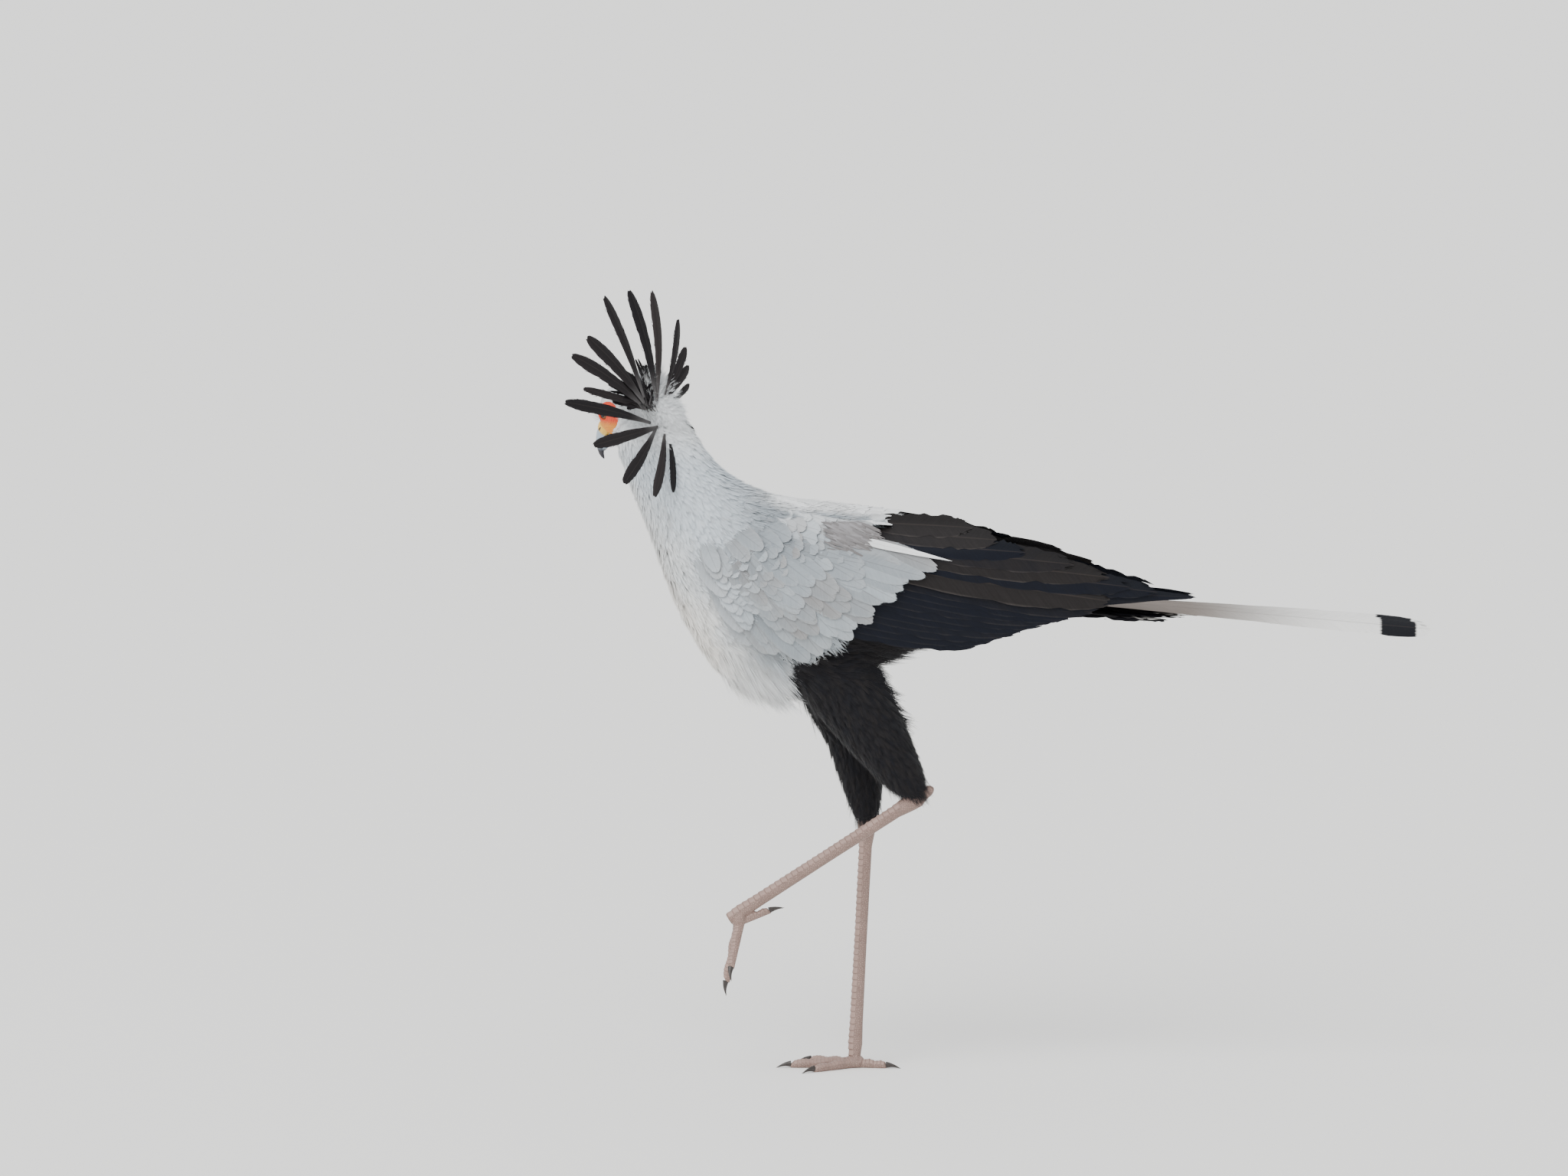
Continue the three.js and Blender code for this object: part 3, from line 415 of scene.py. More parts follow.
def melted_form(bm, voxel, passes, grow=0.0):
    """A smooth closed mesh of what bm holds."""
    rough = bpy.data.meshes.new("rough")
    bm.to_mesh(rough)
    piece = bpy.data.objects.new("rough", rough)
    bpy.context.scene.collection.objects.link(piece)
    swell = piece.modifiers.new("swell", "DISPLACE")
    swell.strength = grow
    swell.mid_level = 0
    remesh = piece.modifiers.new("melt", "REMESH")
    remesh.mode = "VOXEL"
    remesh.voxel_size = voxel
    ease = piece.modifiers.new("ease", "SMOOTH")
    ease.factor = 0.5
    ease.iterations = passes
    evaluated = piece.evaluated_get(bpy.context.evaluated_depsgraph_get())
    mesh = bpy.data.meshes.new_from_object(evaluated)
    bpy.data.objects.remove(piece)
    return mesh


def arrays_of(mesh):
    """Points in millimetres, their normals, and the corners of the faces."""
    points = np.empty(len(mesh.vertices) * 3)
    mesh.vertices.foreach_get("co", points)
    normals = np.empty(len(mesh.vertices) * 3)
    mesh.vertex_normals.foreach_get("vector", normals)
    corners = np.empty(len(mesh.loops), int)
    mesh.loops.foreach_get("vertex_index", corners)
    return to_drawing(points.reshape(-1, 3)), normals.reshape(-1, 3), corners.reshape(-1, 4)


FLESH = ["torso", "neck", "head", "thigh_left", "thigh_right"]
fillings = [nape_pad, rump, wing_flesh(-1), wing_flesh(1)]
flesh_mesh = melted(FLESH, fillings, SKIN_VOXEL, SKIN_PASSES)
outer_points, outer_normals, skin_faces = arrays_of(flesh_mesh)
print("skin:", len(skin_faces), "faces")

# %% [markdown]
# Feathers lie along the body as water would run off it: back over the head, down the neck and
# breast, along the belly and the back, and down the thighs. The lie of the coat is worked out
# from a few middle lines, one through the neck and body and one through each thigh.

# %% The head's own frame
HEAD_AT = np.array([-324, 12, 894])
HEAD_TURN = math.radians(38)
HEAD_DROP = math.radians(50)
BILLWARD = np.array([
    -math.cos(HEAD_TURN) * math.cos(HEAD_DROP),
    math.sin(HEAD_TURN) * math.cos(HEAD_DROP),
    -math.sin(HEAD_DROP),
])
LEFTWARD = np.array([-math.sin(HEAD_TURN), -math.cos(HEAD_TURN), 0])
CROWNWARD = np.cross(BILLWARD, LEFTWARD)
HEAD_AXES = np.stack([BILLWARD, LEFTWARD, CROWNWARD])


def in_head(points):
    return (points - HEAD_AT) @ HEAD_AXES.T


def from_head(points):
    return np.asarray(points, float) @ HEAD_AXES + HEAD_AT


print("the bill points along", BILLWARD.round(2))

# %% Middle lines of the body and thighs
RIBS = np.array([
    # front x, front z, back x, back z, half width
    [-332, 866, -282, 914, 24],
    [-307, 790, -216, 851, 46],
    [-272, 700, -150, 792, 63],
    [-230, 598, -40, 770, 83],
    [-190, 540, 12, 762, 84],
    [-120, 510, 58, 752, 80],
    [-40, 530, 98, 736, 70],
    [40, 560, 132, 714, 56],
    [105, 592, 160, 692, 40],
    [150, 618, 178, 672, 24],
])
RIB_STOPS = np.linspace(0, 1, len(RIBS))
RIBS_BETWEEN = 120
THIGHS = {
    -1: np.array(
        [[-62, -38, 590], [-22, -43, 525], [24, -48, 458], [58, -53, 408], [76, -56, 378]]
    ),
    1: np.array([[-62, 38, 585], [-28, 41, 510], [-6, 37, 440], [4, 32, 380], [9, 28, 332]]),
}
fine_stops = np.linspace(0, 1, RIBS_BETWEEN)
fine_ribs = np.stack([np.interp(fine_stops, RIB_STOPS, RIBS[:, k]) for k in range(5)], axis=1)
rib_middles = (fine_ribs[:, 0:2] + fine_ribs[:, 2:4]) / 2
rib_rises = (fine_ribs[:, 2:4] - fine_ribs[:, 0:2]) / 2
rib_ways = unit(np.gradient(rib_middles, axis=0))


def body_reading(points):
    """For each point, how far along the body it is, 0 to 1, and how far out, 1 on the outline."""
    away = points[:, None, [0, 2]] - rib_middles[None]
    half = np.linalg.norm(rib_rises, axis=1)
    along_rib = np.einsum("pri,ri->pr", away, rib_rises) / half**2
    off_rib = np.einsum("pri,ri->pr", away, rib_ways) / half
    nearest = np.argmin(off_rib**2 + 0.15 * along_rib**2, axis=1)
    picked = np.arange(len(points)), nearest
    out = np.hypot(along_rib[picked], points[:, 1] / fine_ribs[nearest, 4])
    return nearest / (RIBS_BETWEEN - 1), out


def lie_of(points, normals):
    """Direction in which a feather lies at each point, along the skin."""
    stop, out = body_reading(points)
    index = (stop * (RIBS_BETWEEN - 1)).astype(int)
    way = np.zeros_like(points)
    way[:, [0, 2]] = rib_ways[index]
    head = in_head(points)
    on_head = smooth_step(head[:, 0], -46, -18) * smooth_step(np.linalg.norm(head, axis=1), 62, 44)
    downward = 1.9 * smooth_step(head[:, 2], 8, -14)[:, None] * np.array([0, 0, -1])
    way += on_head[:, None] * (unit(downward - BILLWARD) - way)
    wing = smooth_step(out, 1.03, 1.1) * smooth_step(points[:, 2], 575, 600)
    way += (wing * (1 - on_head))[:, None] * (np.array([0.86, 0, -0.5]) - way)
    for side, line in THIGHS.items():
        leg = smooth_step(out, 0.98, 1.08) * (points[:, 1] * side > 0) * (points[:, 2] < 560)
        height = np.interp(-points[:, 2], -line[:, 2], np.arange(len(line)))
        steps = unit(np.gradient(line, axis=0))
        down = steps[np.clip(np.rint(height).astype(int), 0, len(line) - 1)]
        way += leg[:, None] * (down - way)
    flat = way - normals * np.sum(way * normals, axis=1, keepdims=True)
    return unit(flat)


print("middle lines:", RIBS_BETWEEN, "stops on the body and", len(THIGHS), "thighs")

# %% Depth of the coat, and the skin drawn in by it


def on_bare_face(points):
    """Above 0 where the skin round the eyes is bare, and 1 well inside that patch."""
    head = in_head(points)
    oval = ((head[:, 0] - 13) / 25) ** 2 + ((head[:, 2] - 1) / 17.5) ** 2
    on_side = smooth_step(np.abs(head[:, 1]), 3, 7) * (np.linalg.norm(head, axis=1) < 50)
    return np.clip((1 - oval) * 2.5, -1, 1) * on_side - (1 - on_side)


def coat_depth(points):
    stop, _ = body_reading(points)
    depth = np.interp(stop, [0, 0.12, 0.3, 1], [3, 5, 8, 7])
    near_head = smooth_step(np.linalg.norm(points - HEAD_AT, axis=1), 60, 40)
    depth += near_head * (1.4 - depth)
    nape = np.linalg.norm(points - NAPE_AT, axis=1)
    return depth + smooth_step(nape, 60, 30) * (1 - near_head) * 6


skin_points = outer_points - outer_normals * coat_depth(outer_points)[:, None]
skin = Piece()
skin.add(skin_points, skin_faces, outer_points)
under_skin = [node for node in FLESH if node != "head"]
skin_piece = skin.build("skin", skin_finish, "body_plumage", under_skin)
bpy.context.view_layer.objects.active = skin_piece
skin_piece.select_set(True)
bpy.ops.object.mode_set(mode="EDIT")
bpy.ops.mesh.select_all(action="SELECT")
bpy.ops.uv.smart_project(angle_limit=math.radians(70), island_margin=0.003)
bpy.ops.object.mode_set(mode="OBJECT")
skin_piece.data.uv_layers[0].name = "OFBake"
corner_uv = np.empty(skin_faces.size * 2)
skin_piece.data.uv_layers[0].uv.foreach_get("vector", corner_uv)
face_uv = corner_uv.reshape(-1, 4, 2).mean(axis=1)
print("skin unwrapped over", np.ptp(face_uv, axis=0).round(2))

# %% [markdown]
# Small feathers are made by the thousand. Each is a few narrow strands that share a root and
# part at the tip, which gives the coat its soft, hairy edge. Roots are spread evenly by
# dropping every candidate that falls too near one already taken, and each feather then walks
# over the skin from its root, so that it bends with the body.

# %% Spreading roots and walking feathers over the skin
surface = BVHTree.FromPolygons([Vector(p) for p in outer_points], skin_faces.tolist())
face_points = outer_points[skin_faces]
face_middles = face_points.mean(axis=1)
one_diagonal = face_points[:, 2] - face_points[:, 0]
other_diagonal = face_points[:, 3] - face_points[:, 1]
face_areas = np.linalg.norm(np.cross(one_diagonal, other_diagonal), axis=1) / 2
TRIES_PER_ROOT = 5
print("skin to grow feathers on:", round(face_areas.sum() / 1e6, 3), "square metres")


def spread_roots(wanted, gap):
    """Faces and points for roots, where wanted is true, about gap millimetres apart."""
    gap = np.broadcast_to(gap, len(face_middles))
    share = np.where(wanted, face_areas / gap**2, 0)
    tries = int(share.sum() * TRIES_PER_ROOT)
    picked = chance.choice(len(share), tries, p=share / share.sum())
    weights = chance.dirichlet((1, 1, 1, 1), tries)
    points = np.einsum("tk,tki->ti", weights, face_points[picked])
    tree = KDTree(tries)
    for index, point in enumerate(points):
        tree.insert(point, index)
    tree.balance()
    free = np.ones(tries, bool)
    kept = []
    for index in range(tries):
        if free[index]:
            kept.append(index)
            for _, near, _ in tree.find_range(points[index], gap[picked[index]]):
                free[near] = False
    return picked[kept], points[kept]


def nearest_on_skin(points):
    found = [surface.find_nearest(Vector(p)) for p in points]
    return np.array([f[0] for f in found]), np.array([f[1] for f in found])


def walked(roots, lengths, stops, sway):
    """Middle lines over the skin: their points, outward normals and directions."""
    points, normals = nearest_on_skin(roots)
    way = lie_of(points, normals)
    way = unit(way + np.cross(normals, way) * sway[:, None])
    line, facing, ways = [points], [normals], [way]
    for before, after in zip(stops, stops[1:]):
        step = points + way * (lengths * (after - before))[:, None]
        points, normals = nearest_on_skin(step)
        fresh = lie_of(points, normals)
        fresh = unit(fresh + np.cross(normals, fresh) * sway[:, None])
        way = unit(0.5 * way + 0.5 * fresh)
        way = unit(way - normals * np.sum(way * normals, axis=1, keepdims=True))
        line.append(points)
        facing.append(normals)
        ways.append(way)
    return np.stack(line, 1), np.stack(facing, 1), np.stack(ways, 1)


# %% Strands of a small feather
PATCH = 0.003
KINDS = 10
SWAY = 0.12


def strand_pattern(strands, rows, hair, vane):
    """
    One small feather of thin strands, with a narrow vane under them where wanted: along from
    0 to 1, across from -1 to 1, a small lift, a shade for each strand, and its faces.
    """
    along, across, lift, shade, faces = [], [], [], [], []
    rises = np.linspace(0, 1, rows + 1)

    def strip(reach, edges, height, tint):
        first = len(along) * (rows + 1)
        for edge in edges:
            along.append(rises * reach)
            across.append(edge)
            lift.append(height)
            shade.append(np.full(rows + 1, tint))
        for row in range(rows):
            a, b = first + row, first + row + rows + 1
            faces.append([a, b, b + 1, a + 1])

    for side in (-1, 1) if vane else ():
        outline = np.interp(rises, [0, 0.5, 0.85, 1], [0.4, 1, 0.75, 0.15])
        strip(0.88, (0.0 * rises, side * 0.68 * outline), -0.02 * rises, 0.4)
    for lean in np.linspace(-1, 1, strands):
        reach = 1 - 0.2 * lean * lean + chance.uniform(-0.16, 0.04)
        spread_out = lean * np.interp(rises * reach, [0, 0.6, 1], [0.3, 1, 0.9])
        wide = (hair / strands) * np.interp(rises, [0, 0.5, 1], [0.8, 1, 0.12])
        middle = spread_out + chance.uniform(-0.18, 0.18) * rises**2
        tilt = chance.uniform(-0.01, 0.06) * rises
        strip(reach, (middle - wide, middle + wide), tilt, chance.random())
    numbers = [np.concatenate(v) for v in (along, across, lift, shade)]
    return numbers + [np.array(faces)]


def add_feathers(piece, lines, facing, ways, sizes, place, uv, pattern):
    """Adds one feather for each middle line, all of one pattern."""
    along, across, lift, shade, faces = pattern
    length, width, rise = sizes
    count, rows = len(lines), lines.shape[1] - 1
    low = np.minimum((along * rows).astype(int), rows - 1)
    share = (along * rows - low)[None, :, None]

    def at_row(values):
        return values[:, low] * (1 - share) + values[:, low + 1] * share

    middle, normal, way = at_row(lines), unit(at_row(facing)), unit(at_row(ways))
    aside = np.cross(way, normal)
    height = rise[:, None] * along + length[:, None] * lift
    camber = -0.16 * width[:, None] * across**2
    points = middle + aside * (across * width[:, None] / 2)[..., None]
    points = points + normal * (height + camber)[..., None]
    size = len(along)
    faces = (np.arange(count) * size)[:, None, None] + faces[None]
    patch = uv[:, None] + PATCH * np.stack([across / 2, along - 0.5], axis=1)[None]
    piece.add(
        points.reshape(-1, 3),
        faces.reshape(-1, 4),
        np.repeat(place, size, axis=0),
        patch.reshape(-1, 2),
        np.tile(along, count),
        np.tile(across, count),
        np.repeat(chance.random(count), size),
        np.tile(shade, count),
    )


def add_in_kinds(piece, lines, facing, ways, sizes, roots, uv, make_pattern):
    """Adds feathers in several patterns, so that no two neighbours need be alike."""
    kinds = chance.integers(0, KINDS, len(lines))
    for kind in range(KINDS):
        group = kinds == kind
        picked = [size[group] for size in sizes]
        parts = lines[group], facing[group], ways[group], picked, roots[group], uv[group]
        add_feathers(piece, *parts, make_pattern())


def feather_coat(
    name, wanted, gap, sizes, strands, rows=3, hair=0.8, vane=True, slot="body_plumage"
):
    """A coat piece: small feathers, of a length, width and rise, on the faces wanted."""
    faces, roots = spread_roots(wanted, gap)
    count = len(faces)
    length, width, rise = (np.broadcast_to(size, len(face_middles))[faces] for size in sizes)
    length = length * chance.uniform(0.82, 1.18, count)
    width = width * chance.uniform(0.85, 1.15, count)
    rise = rise * chance.uniform(0.4, 1.7, count)
    stops = np.linspace(0, 1, rows + 1)
    line, facing, ways = walked(roots, length, stops, chance.normal(0, SWAY, count))
    sunk = 0.4 * coat_depth(roots)[:, None] * (1 - stops)
    piece = Piece()
    add_in_kinds(
        piece,
        line - facing * sunk[..., None],
        facing,
        ways,
        (length, width, rise),
        roots,
        face_uv[faces],
        lambda: strand_pattern(strands, rows, hair, vane),
    )
    piece.build(name, coat_finish, slot)


# %% [markdown]
# The coat is laid zone by zone, since each zone has its own feathers: minute on the face, soft
# and narrow on the neck, broader on the breast and back, loose on the belly, and dense and
# hairy on the black thighs.

# %% Zones of the coat
stop, out = body_reading(face_middles)
face_x, face_y, face_z = face_middles.T
to_head = in_head(face_middles)
from_head_middle = np.linalg.norm(to_head, axis=1)
head_zone = (from_head_middle < 48) & (to_head[:, 0] > -40)
bare = on_bare_face(face_middles) > 0
wing_zone = (out > 1.05) & (face_z > 575) & (face_x > -205) & ~head_zone
thigh_zone = (out > 1.02) & (face_z < 560) & ~head_zone
under_wing = (np.abs(face_y) > 40) & (face_x > 60) & (face_z > 640)
trunk_zone = ~head_zone & ~thigh_zone & ~wing_zone
print("faces by zone:", head_zone.sum(), thigh_zone.sum(), wing_zone.sum(), trunk_zone.sum())

# %% Lay the coat
gap_here = np.interp(stop, [0, 0.1, 0.3, 1], [2.6, 3.2, 4.4, 5])
length_here = np.interp(stop, [0, 0.1, 0.3, 0.6, 1], [13, 18, 28, 32, 30])
width_here = np.interp(stop, [0, 0.1, 0.3, 1], [4, 6, 10, 12])
contour = (length_here, width_here, 2.6)
on_head = (np.interp(to_head[:, 0], [-40, -10, 20], [13, 8, 5]), 2.2, 0.6)
feather_coat("coat_head", head_zone & ~bare, 1.35, on_head, 4, hair=1.1, vane=False)
feather_coat("coat_neck", trunk_zone & (stop < 0.25), gap_here, contour, 7)
feather_coat("coat_breast", trunk_zone & (stop >= 0.25) & (stop < 0.55), gap_here, contour, 8, 4)
feather_coat("coat_rear", trunk_zone & (stop >= 0.55) & ~under_wing, gap_here, contour, 7)
on_shoulder = (face_x < -84) | (face_z > 716)
feather_coat("coat_wings", wing_zone & on_shoulder & (face_x < 20), 4.6, (27, 11, 2.0), 7)
feather_coat("coat_thighs", thigh_zone, 3.4, (26, 6.5, 3.0), 6, hair=0.9, slot="thigh_plumage")

# %% [markdown]
# A large feather is a vane: a grid with its shaft down the middle, widest past its half and
# rounded at the tip. Its barbs are too fine for mesh, so the grid carries a number that grows
# along each barb, and the finish turns that into fine grooves. Tips and edges are worn a little
# by chance, since no vane on a living bird is quite whole.

# %% One large feather


def vane_half(along, root, widest, blunt, swell=0.9):
    """Half width along a vane, as a share of the whole: from root to 1, then round to the tip."""
    start = root + (1 - root) * np.sin(np.pi / 2 * np.clip(along / widest, 0, 1)) ** swell
    end = 1 - np.clip((along - widest) / (1 - widest), 0, 1) ** blunt
    return np.maximum(start * np.maximum(end, 0) ** (1 / blunt), 0.05)


BROAD = {"root": 0.4, "widest": 0.62, "blunt": 2.0}
ROUNDED = {"root": 0.5, "widest": 0.58, "blunt": 1.9}
POINTED = {"root": 0.5, "widest": 0.45, "blunt": 1.5}
TAPERED = {"root": 0.7, "widest": 0.35, "blunt": 1.2}


def add_vane(piece, root, tip, across, facing, width, shape=BROAD, place=None, tone=None,
             mapped=None, bow=0.0, camber=0.06, ragged=0.05, size=(14, 9), loose=0):
    """
    Adds a vane from root to tip. Across and facing are its other two directions, and loose is
    the number of barbs that have parted from it and stand out over its edge.
    """
    rows, columns = size
    root, tip, across, facing = (np.asarray(v, float) for v in (root, tip, across, facing))
    long = np.linalg.norm(tip - root)
    tone = chance.random() if tone is None else tone
    cell = np.array(divmod(piece.vanes, piece.cells))
    piece.vanes += 1

    def lay(along, off, faces, raised=0.0):
        """Adds points a share along the vane, and a share of its half width off the shaft."""
        half = width / 2 * vane_half(np.clip(along, 0, 0.995), **shape)
        lift = camber * width * (1 - off**2) + raised + bow * long * np.sin(np.pi * along)
        points = root + (tip - root) * along[..., None] + across * (half * off)[..., None]
        points = (points + facing * lift[..., None]).reshape(-1, 3)
        points = mapped(points) if mapped else points
        inside = np.stack([0.5 + 0.42 * off, 0.04 + 0.88 * along], axis=-1).reshape(-1, 2)
        patch = (cell + np.clip(inside, 0.02, 0.98)) / piece.cells
        barb = along * long - np.abs(half * off)
        at = points[len(points) // 2] if place is None else place
        piece.add(points, faces, at, patch, along.ravel(), off.ravel(), tone, barb.ravel())

    lean = np.linspace(-1, 1, columns)[None]
    rise = 1 - (1 - np.linspace(0, 1, rows)[:, None]) ** 1.6
    worn_off = ragged * chance.random(columns)[None] * (0.35 + np.abs(lean))
    notches = chance.random((rows, columns)) ** 3 * (np.abs(lean) > 0.7)
    off = lean * (1 - 4 * ragged * notches)
    lay(rise * (1 - worn_off * rise**6), off, grid_faces(rows, columns), 0.3 * (lean == 0))
    for side in chance.choice((-1, 1), loose):
        start = chance.uniform(0.35, 0.97)
        stops = np.array([[0.0], [0.55], [1.0]])
        reach = chance.uniform(2.5, 6.5)
        middle = start + reach / long * stops
        outer = chance.uniform(0.75, 1.0) if start < 0.9 else chance.uniform(0.1, 1.0)
        off = side * (outer + stops * reach / width * chance.uniform(0.3, 1.1))
        thin = np.array([[-1.0, 1.0]]) * (0.45 * (1 - 0.8 * stops) / width * 2)
        lay(middle + 0 * thin, off + thin, grid_faces(3, 2), 0.25 * stops)


SHAFT = paint(70, 62, 58)


def vane_finish(name, colour_of, roughness, groove=0.9):
    """
    A finish for vanes. colour_of gives the colour from the finish under way, and groove is
    the distance of the barbs in millimetres.
    """
    finish = Finish(name, {"Roughness": roughness, "Specular IOR Level": 0.16})
    shaft = abs(finish.number("across")).above(0.07, 0.02)
    colour = finish.blend(shaft * 0.25, colour_of(finish), SHAFT)
    finish.wear({"Base Color": colour})
    turn = finish.number("barb") * (2 * math.pi / groove)
    waves = finish.node("ShaderNodeMath", {"operation": "SINE"}, {0: turn})
    finish.relief(waves * 0.5 + 0.5, 0.00025, 0.5)
    return finish.material


# %% [markdown]
# The folded wing shows three tiers. Pale coverts lie over it like tiles, in rows that fan out
# from the bend of the wing. Black secondaries and the broad tertials run out beneath them, and
# the tips of the primaries show last. The coverts are drawn in the side view and laid on the
# body's side, so that both wings come from the same rows. Later rows cover the roots of the
# ones before.

# %% Finish of the coverts


def streaks(finish, fineness):
    """Streaks that run with the barbs, different on each feather."""
    with_barbs = finish.number("barb") * fineness
    over_barbs = finish.number("across") * 0.7
    by_feather = finish.number("tone") * 40
    sockets = {0: with_barbs, 1: over_barbs, 2: by_feather}
    return finish.noise(finish.node("ShaderNodeCombineXYZ", {}, sockets), 1, 3)


def covert_colour(finish):
    place, tone = finish.place(), finish.number("tone")
    along, across = finish.number("along"), finish.number("across")
    base = pale_plumage(finish, place, finish.noise(place, 0.02))
    cloud = finish.noise(place, 0.024)
    beige = (tone * 0.34 + cloud * 0.9 + across * 0.06).above(0.46, 0.86) * 0.75
    colour = finish.blend(beige, base, BEIGE_GREY)
    bright = (tone * 0.5 - cloud * 0.9).above(-0.3, 0.12) * 0.6
    colour = finish.blend(bright, colour, paint(190, 201, 208))
    rim = (along.above(0.8, 1.0) + abs(across).above(0.6, 1.0)) * 0.1
    colour = finish.blend(rim, colour, WHITE)
    # painted shade: each covert is darker towards its root, where the next row lies over it; it is
    # also a little darker on the half towards across -1
    shade = (along.above(0.1, 0.8) * 0.12 + 0.72) * (across.above(-1.1, 0.3) * 0.06 + 0.94)
    return colour * (shade * (streaks(finish, 0.35) * 0.3 + 0.85))


covert_finish = vane_finish("wing coverts", covert_colour, 0.8)
print("finish for the wing:", covert_finish.name)

# %% Rows of coverts
COVERT_EDGE = (
    # along the row of the greatest coverts, low in front to high behind: x and z of their tips
    [0, 0.14, 0.25, 0.4, 0.55, 0.7, 0.86, 1],
    [-152, -112, -78, -33, 2, 34, 72, 106],
    [592, 572, 567, 587, 616, 648, 677, 697],
)
COVERT_AIM = ([0, 0.35, 0.6, 1], [-66, -50, -34, -14])
COVERT_ROWS = [
    # steps back from the edge, then length and width of the feathers
    (-13, 60, 15), (0, 118, 33), (30, 106, 31), (58, 94, 29), (84, 82, 27), (108, 74, 26),
    (130, 66, 25), (152, 60, 25), (174, 54, 24), (196, 48, 24),
]
# the first rows from the edge are set evenly, and the first five lie full and high
EVEN_ROWS = 2
FULL_ROWS = 5
# the frayed row past the edge takes only this share of it
FRINGE = (0.16, 0.45)


def beyond_shell(x, z, wider=0, taller=0):
    """Below 1 over the wing's own flesh, and above 1 outside it."""
    along = (x - SHELL["x"]) / (SHELL["long"] + wider)
    up = (z - SHELL["z"]) / (SHELL["high"] + taller)
    return along**2 + up**2


def covert_line(back):
    """A row's line of tips, as far back from the wing's edge as back says, and its length."""
    stops = np.linspace(0, 1, 80)
    edge = np.stack([np.interp(stops, COVERT_EDGE[0], c) for c in COVERT_EDGE[1:]], axis=1)
    aim = np.radians(np.interp(stops, *COVERT_AIM))
    ahead = np.stack([np.cos(aim), np.sin(aim)], axis=1)
    line = edge - ahead * (back * np.interp(stops, [0, 1], [0.55, 1.2]))[:, None]
    run = np.concatenate([[0], np.cumsum(np.linalg.norm(np.diff(line, axis=0), axis=1))])
    return stops, line, run


def covert_depths(order, back, root, tip):
    """Depths of a covert's root and tip. Both are drawn in where the wing's flesh ends."""
    rear = smooth_step(tip[0], 20, 80)
    tucked = 18 * smooth_step(beyond_shell(*root), 0.7, 1.3) * (1 - rear) - 4 * rear
    hugging = 6 * smooth_step(beyond_shell(*tip), 0.95, 1.6) * (tip[0] < -20) - 5 * rear
    low, high = (-4.5, 1.6) if order < FULL_ROWS else (-2.5, 0.5)
    depths = shell_depth(*root) + low - tucked, shell_depth(*tip) + high - hugging
    if back < 0:
        return depths[0] - 4, depths[1] - 6
    return depths


def covert_row(piece, side, order, back, length, width):
    stops, line, run = covert_line(back)
    count = max(4, int(run[-1] / (width * (0.48 if order < EVEN_ROWS else 0.58))))
    for i in range(count):
        at_run = run[-1] * (i + 0.5 * (order % 2) + chance.uniform(-0.2, 0.3)) / count
        share = np.interp(at_run, run, stops)
        if back < 0 and not FRINGE[0] < share < FRINGE[1]:
            continue
        tip = np.array([np.interp(at_run, run, line[:, k]) for k in (0, 1)])
        way = np.radians(np.interp(share, *COVERT_AIM) + chance.normal(0, 4.5))
        way = np.array([np.cos(way), np.sin(way)])
        shift = chance.normal(0, 0.04) if order < EVEN_ROWS else -abs(chance.normal(0, 0.1))
        tip = tip + way * shift * length
        root = tip - way * length * chance.uniform(0.94, 1.06)
        if order > EVEN_ROWS and beyond_shell(*tip, 4, 10) > chance.uniform(0.5, 0.92):
            continue
        depths = covert_depths(order, back, root, tip)
        add_vane(
            piece,
            (root[0], depths[0], root[1]),
            (tip[0], depths[1], tip[1]),
            (-way[1], -0.07, way[0]),
            (0, 1, 0),
            width * chance.uniform(0.75, 1.15),
            mapped=lambda p: on_wing(side, *p.T),
            camber=0.035 if order < FULL_ROWS else 0.02,
            ragged=0.5 if back < 0 else chance.uniform(0.02, 0.06),
            shape=ROUNDED,
            size=(13, 9),
            loose=44 if order <= FULL_ROWS else 34,
        )


def wing_coverts(name, side):
    piece = Piece(cells=18)
    for order, (back, length, width) in enumerate(COVERT_ROWS):
        covert_row(piece, side, order, back, length, width)
    nodes = [f"wing_{name}_coverts"]
    piece.build(f"wing_{name}_covert_vanes", covert_finish, "body_plumage", nodes)


SIDES = {"left": -1, "right": 1}
for side_name, side in SIDES.items():
    wing_coverts(side_name, side)

# %% [markdown]
# The black flight feathers are long vanes side by side, each a little over the one below it.
# The upper ones are faded to brown, as the sun reaches them first.

# %% Flight feathers


def flight_colour(finish):
    tone = finish.number("tone")
    along, across = finish.number("along"), finish.number("across")
    cloud = streaks(finish, 0.05)
    fade = (tone + cloud * 0.5 + along * 0.1).above(0.45, 1.15)
    colour = finish.blend(fade, paint(9, 13, 24), paint(32, 29, 29))
    # a paler rim along the exposed lower edge and the tip: partly the pale edge of a faded feather,
    # partly a painted highlight where the edge catches light
    rim = (across.above(-0.84, -1.0) + along.above(0.97, 1.0)) * (fade * 0.2 + 0.08)
    colour = finish.blend(rim, colour, paint(92, 86, 83))
    # painted shadow: each vane is darker towards its upper edge, which the feather above covers and
    # shades
    shade = across.above(0.6, -0.6) * 0.34 + 0.7
    return colour * (shade * (streaks(finish, 0.3) * 0.7 + 0.65))


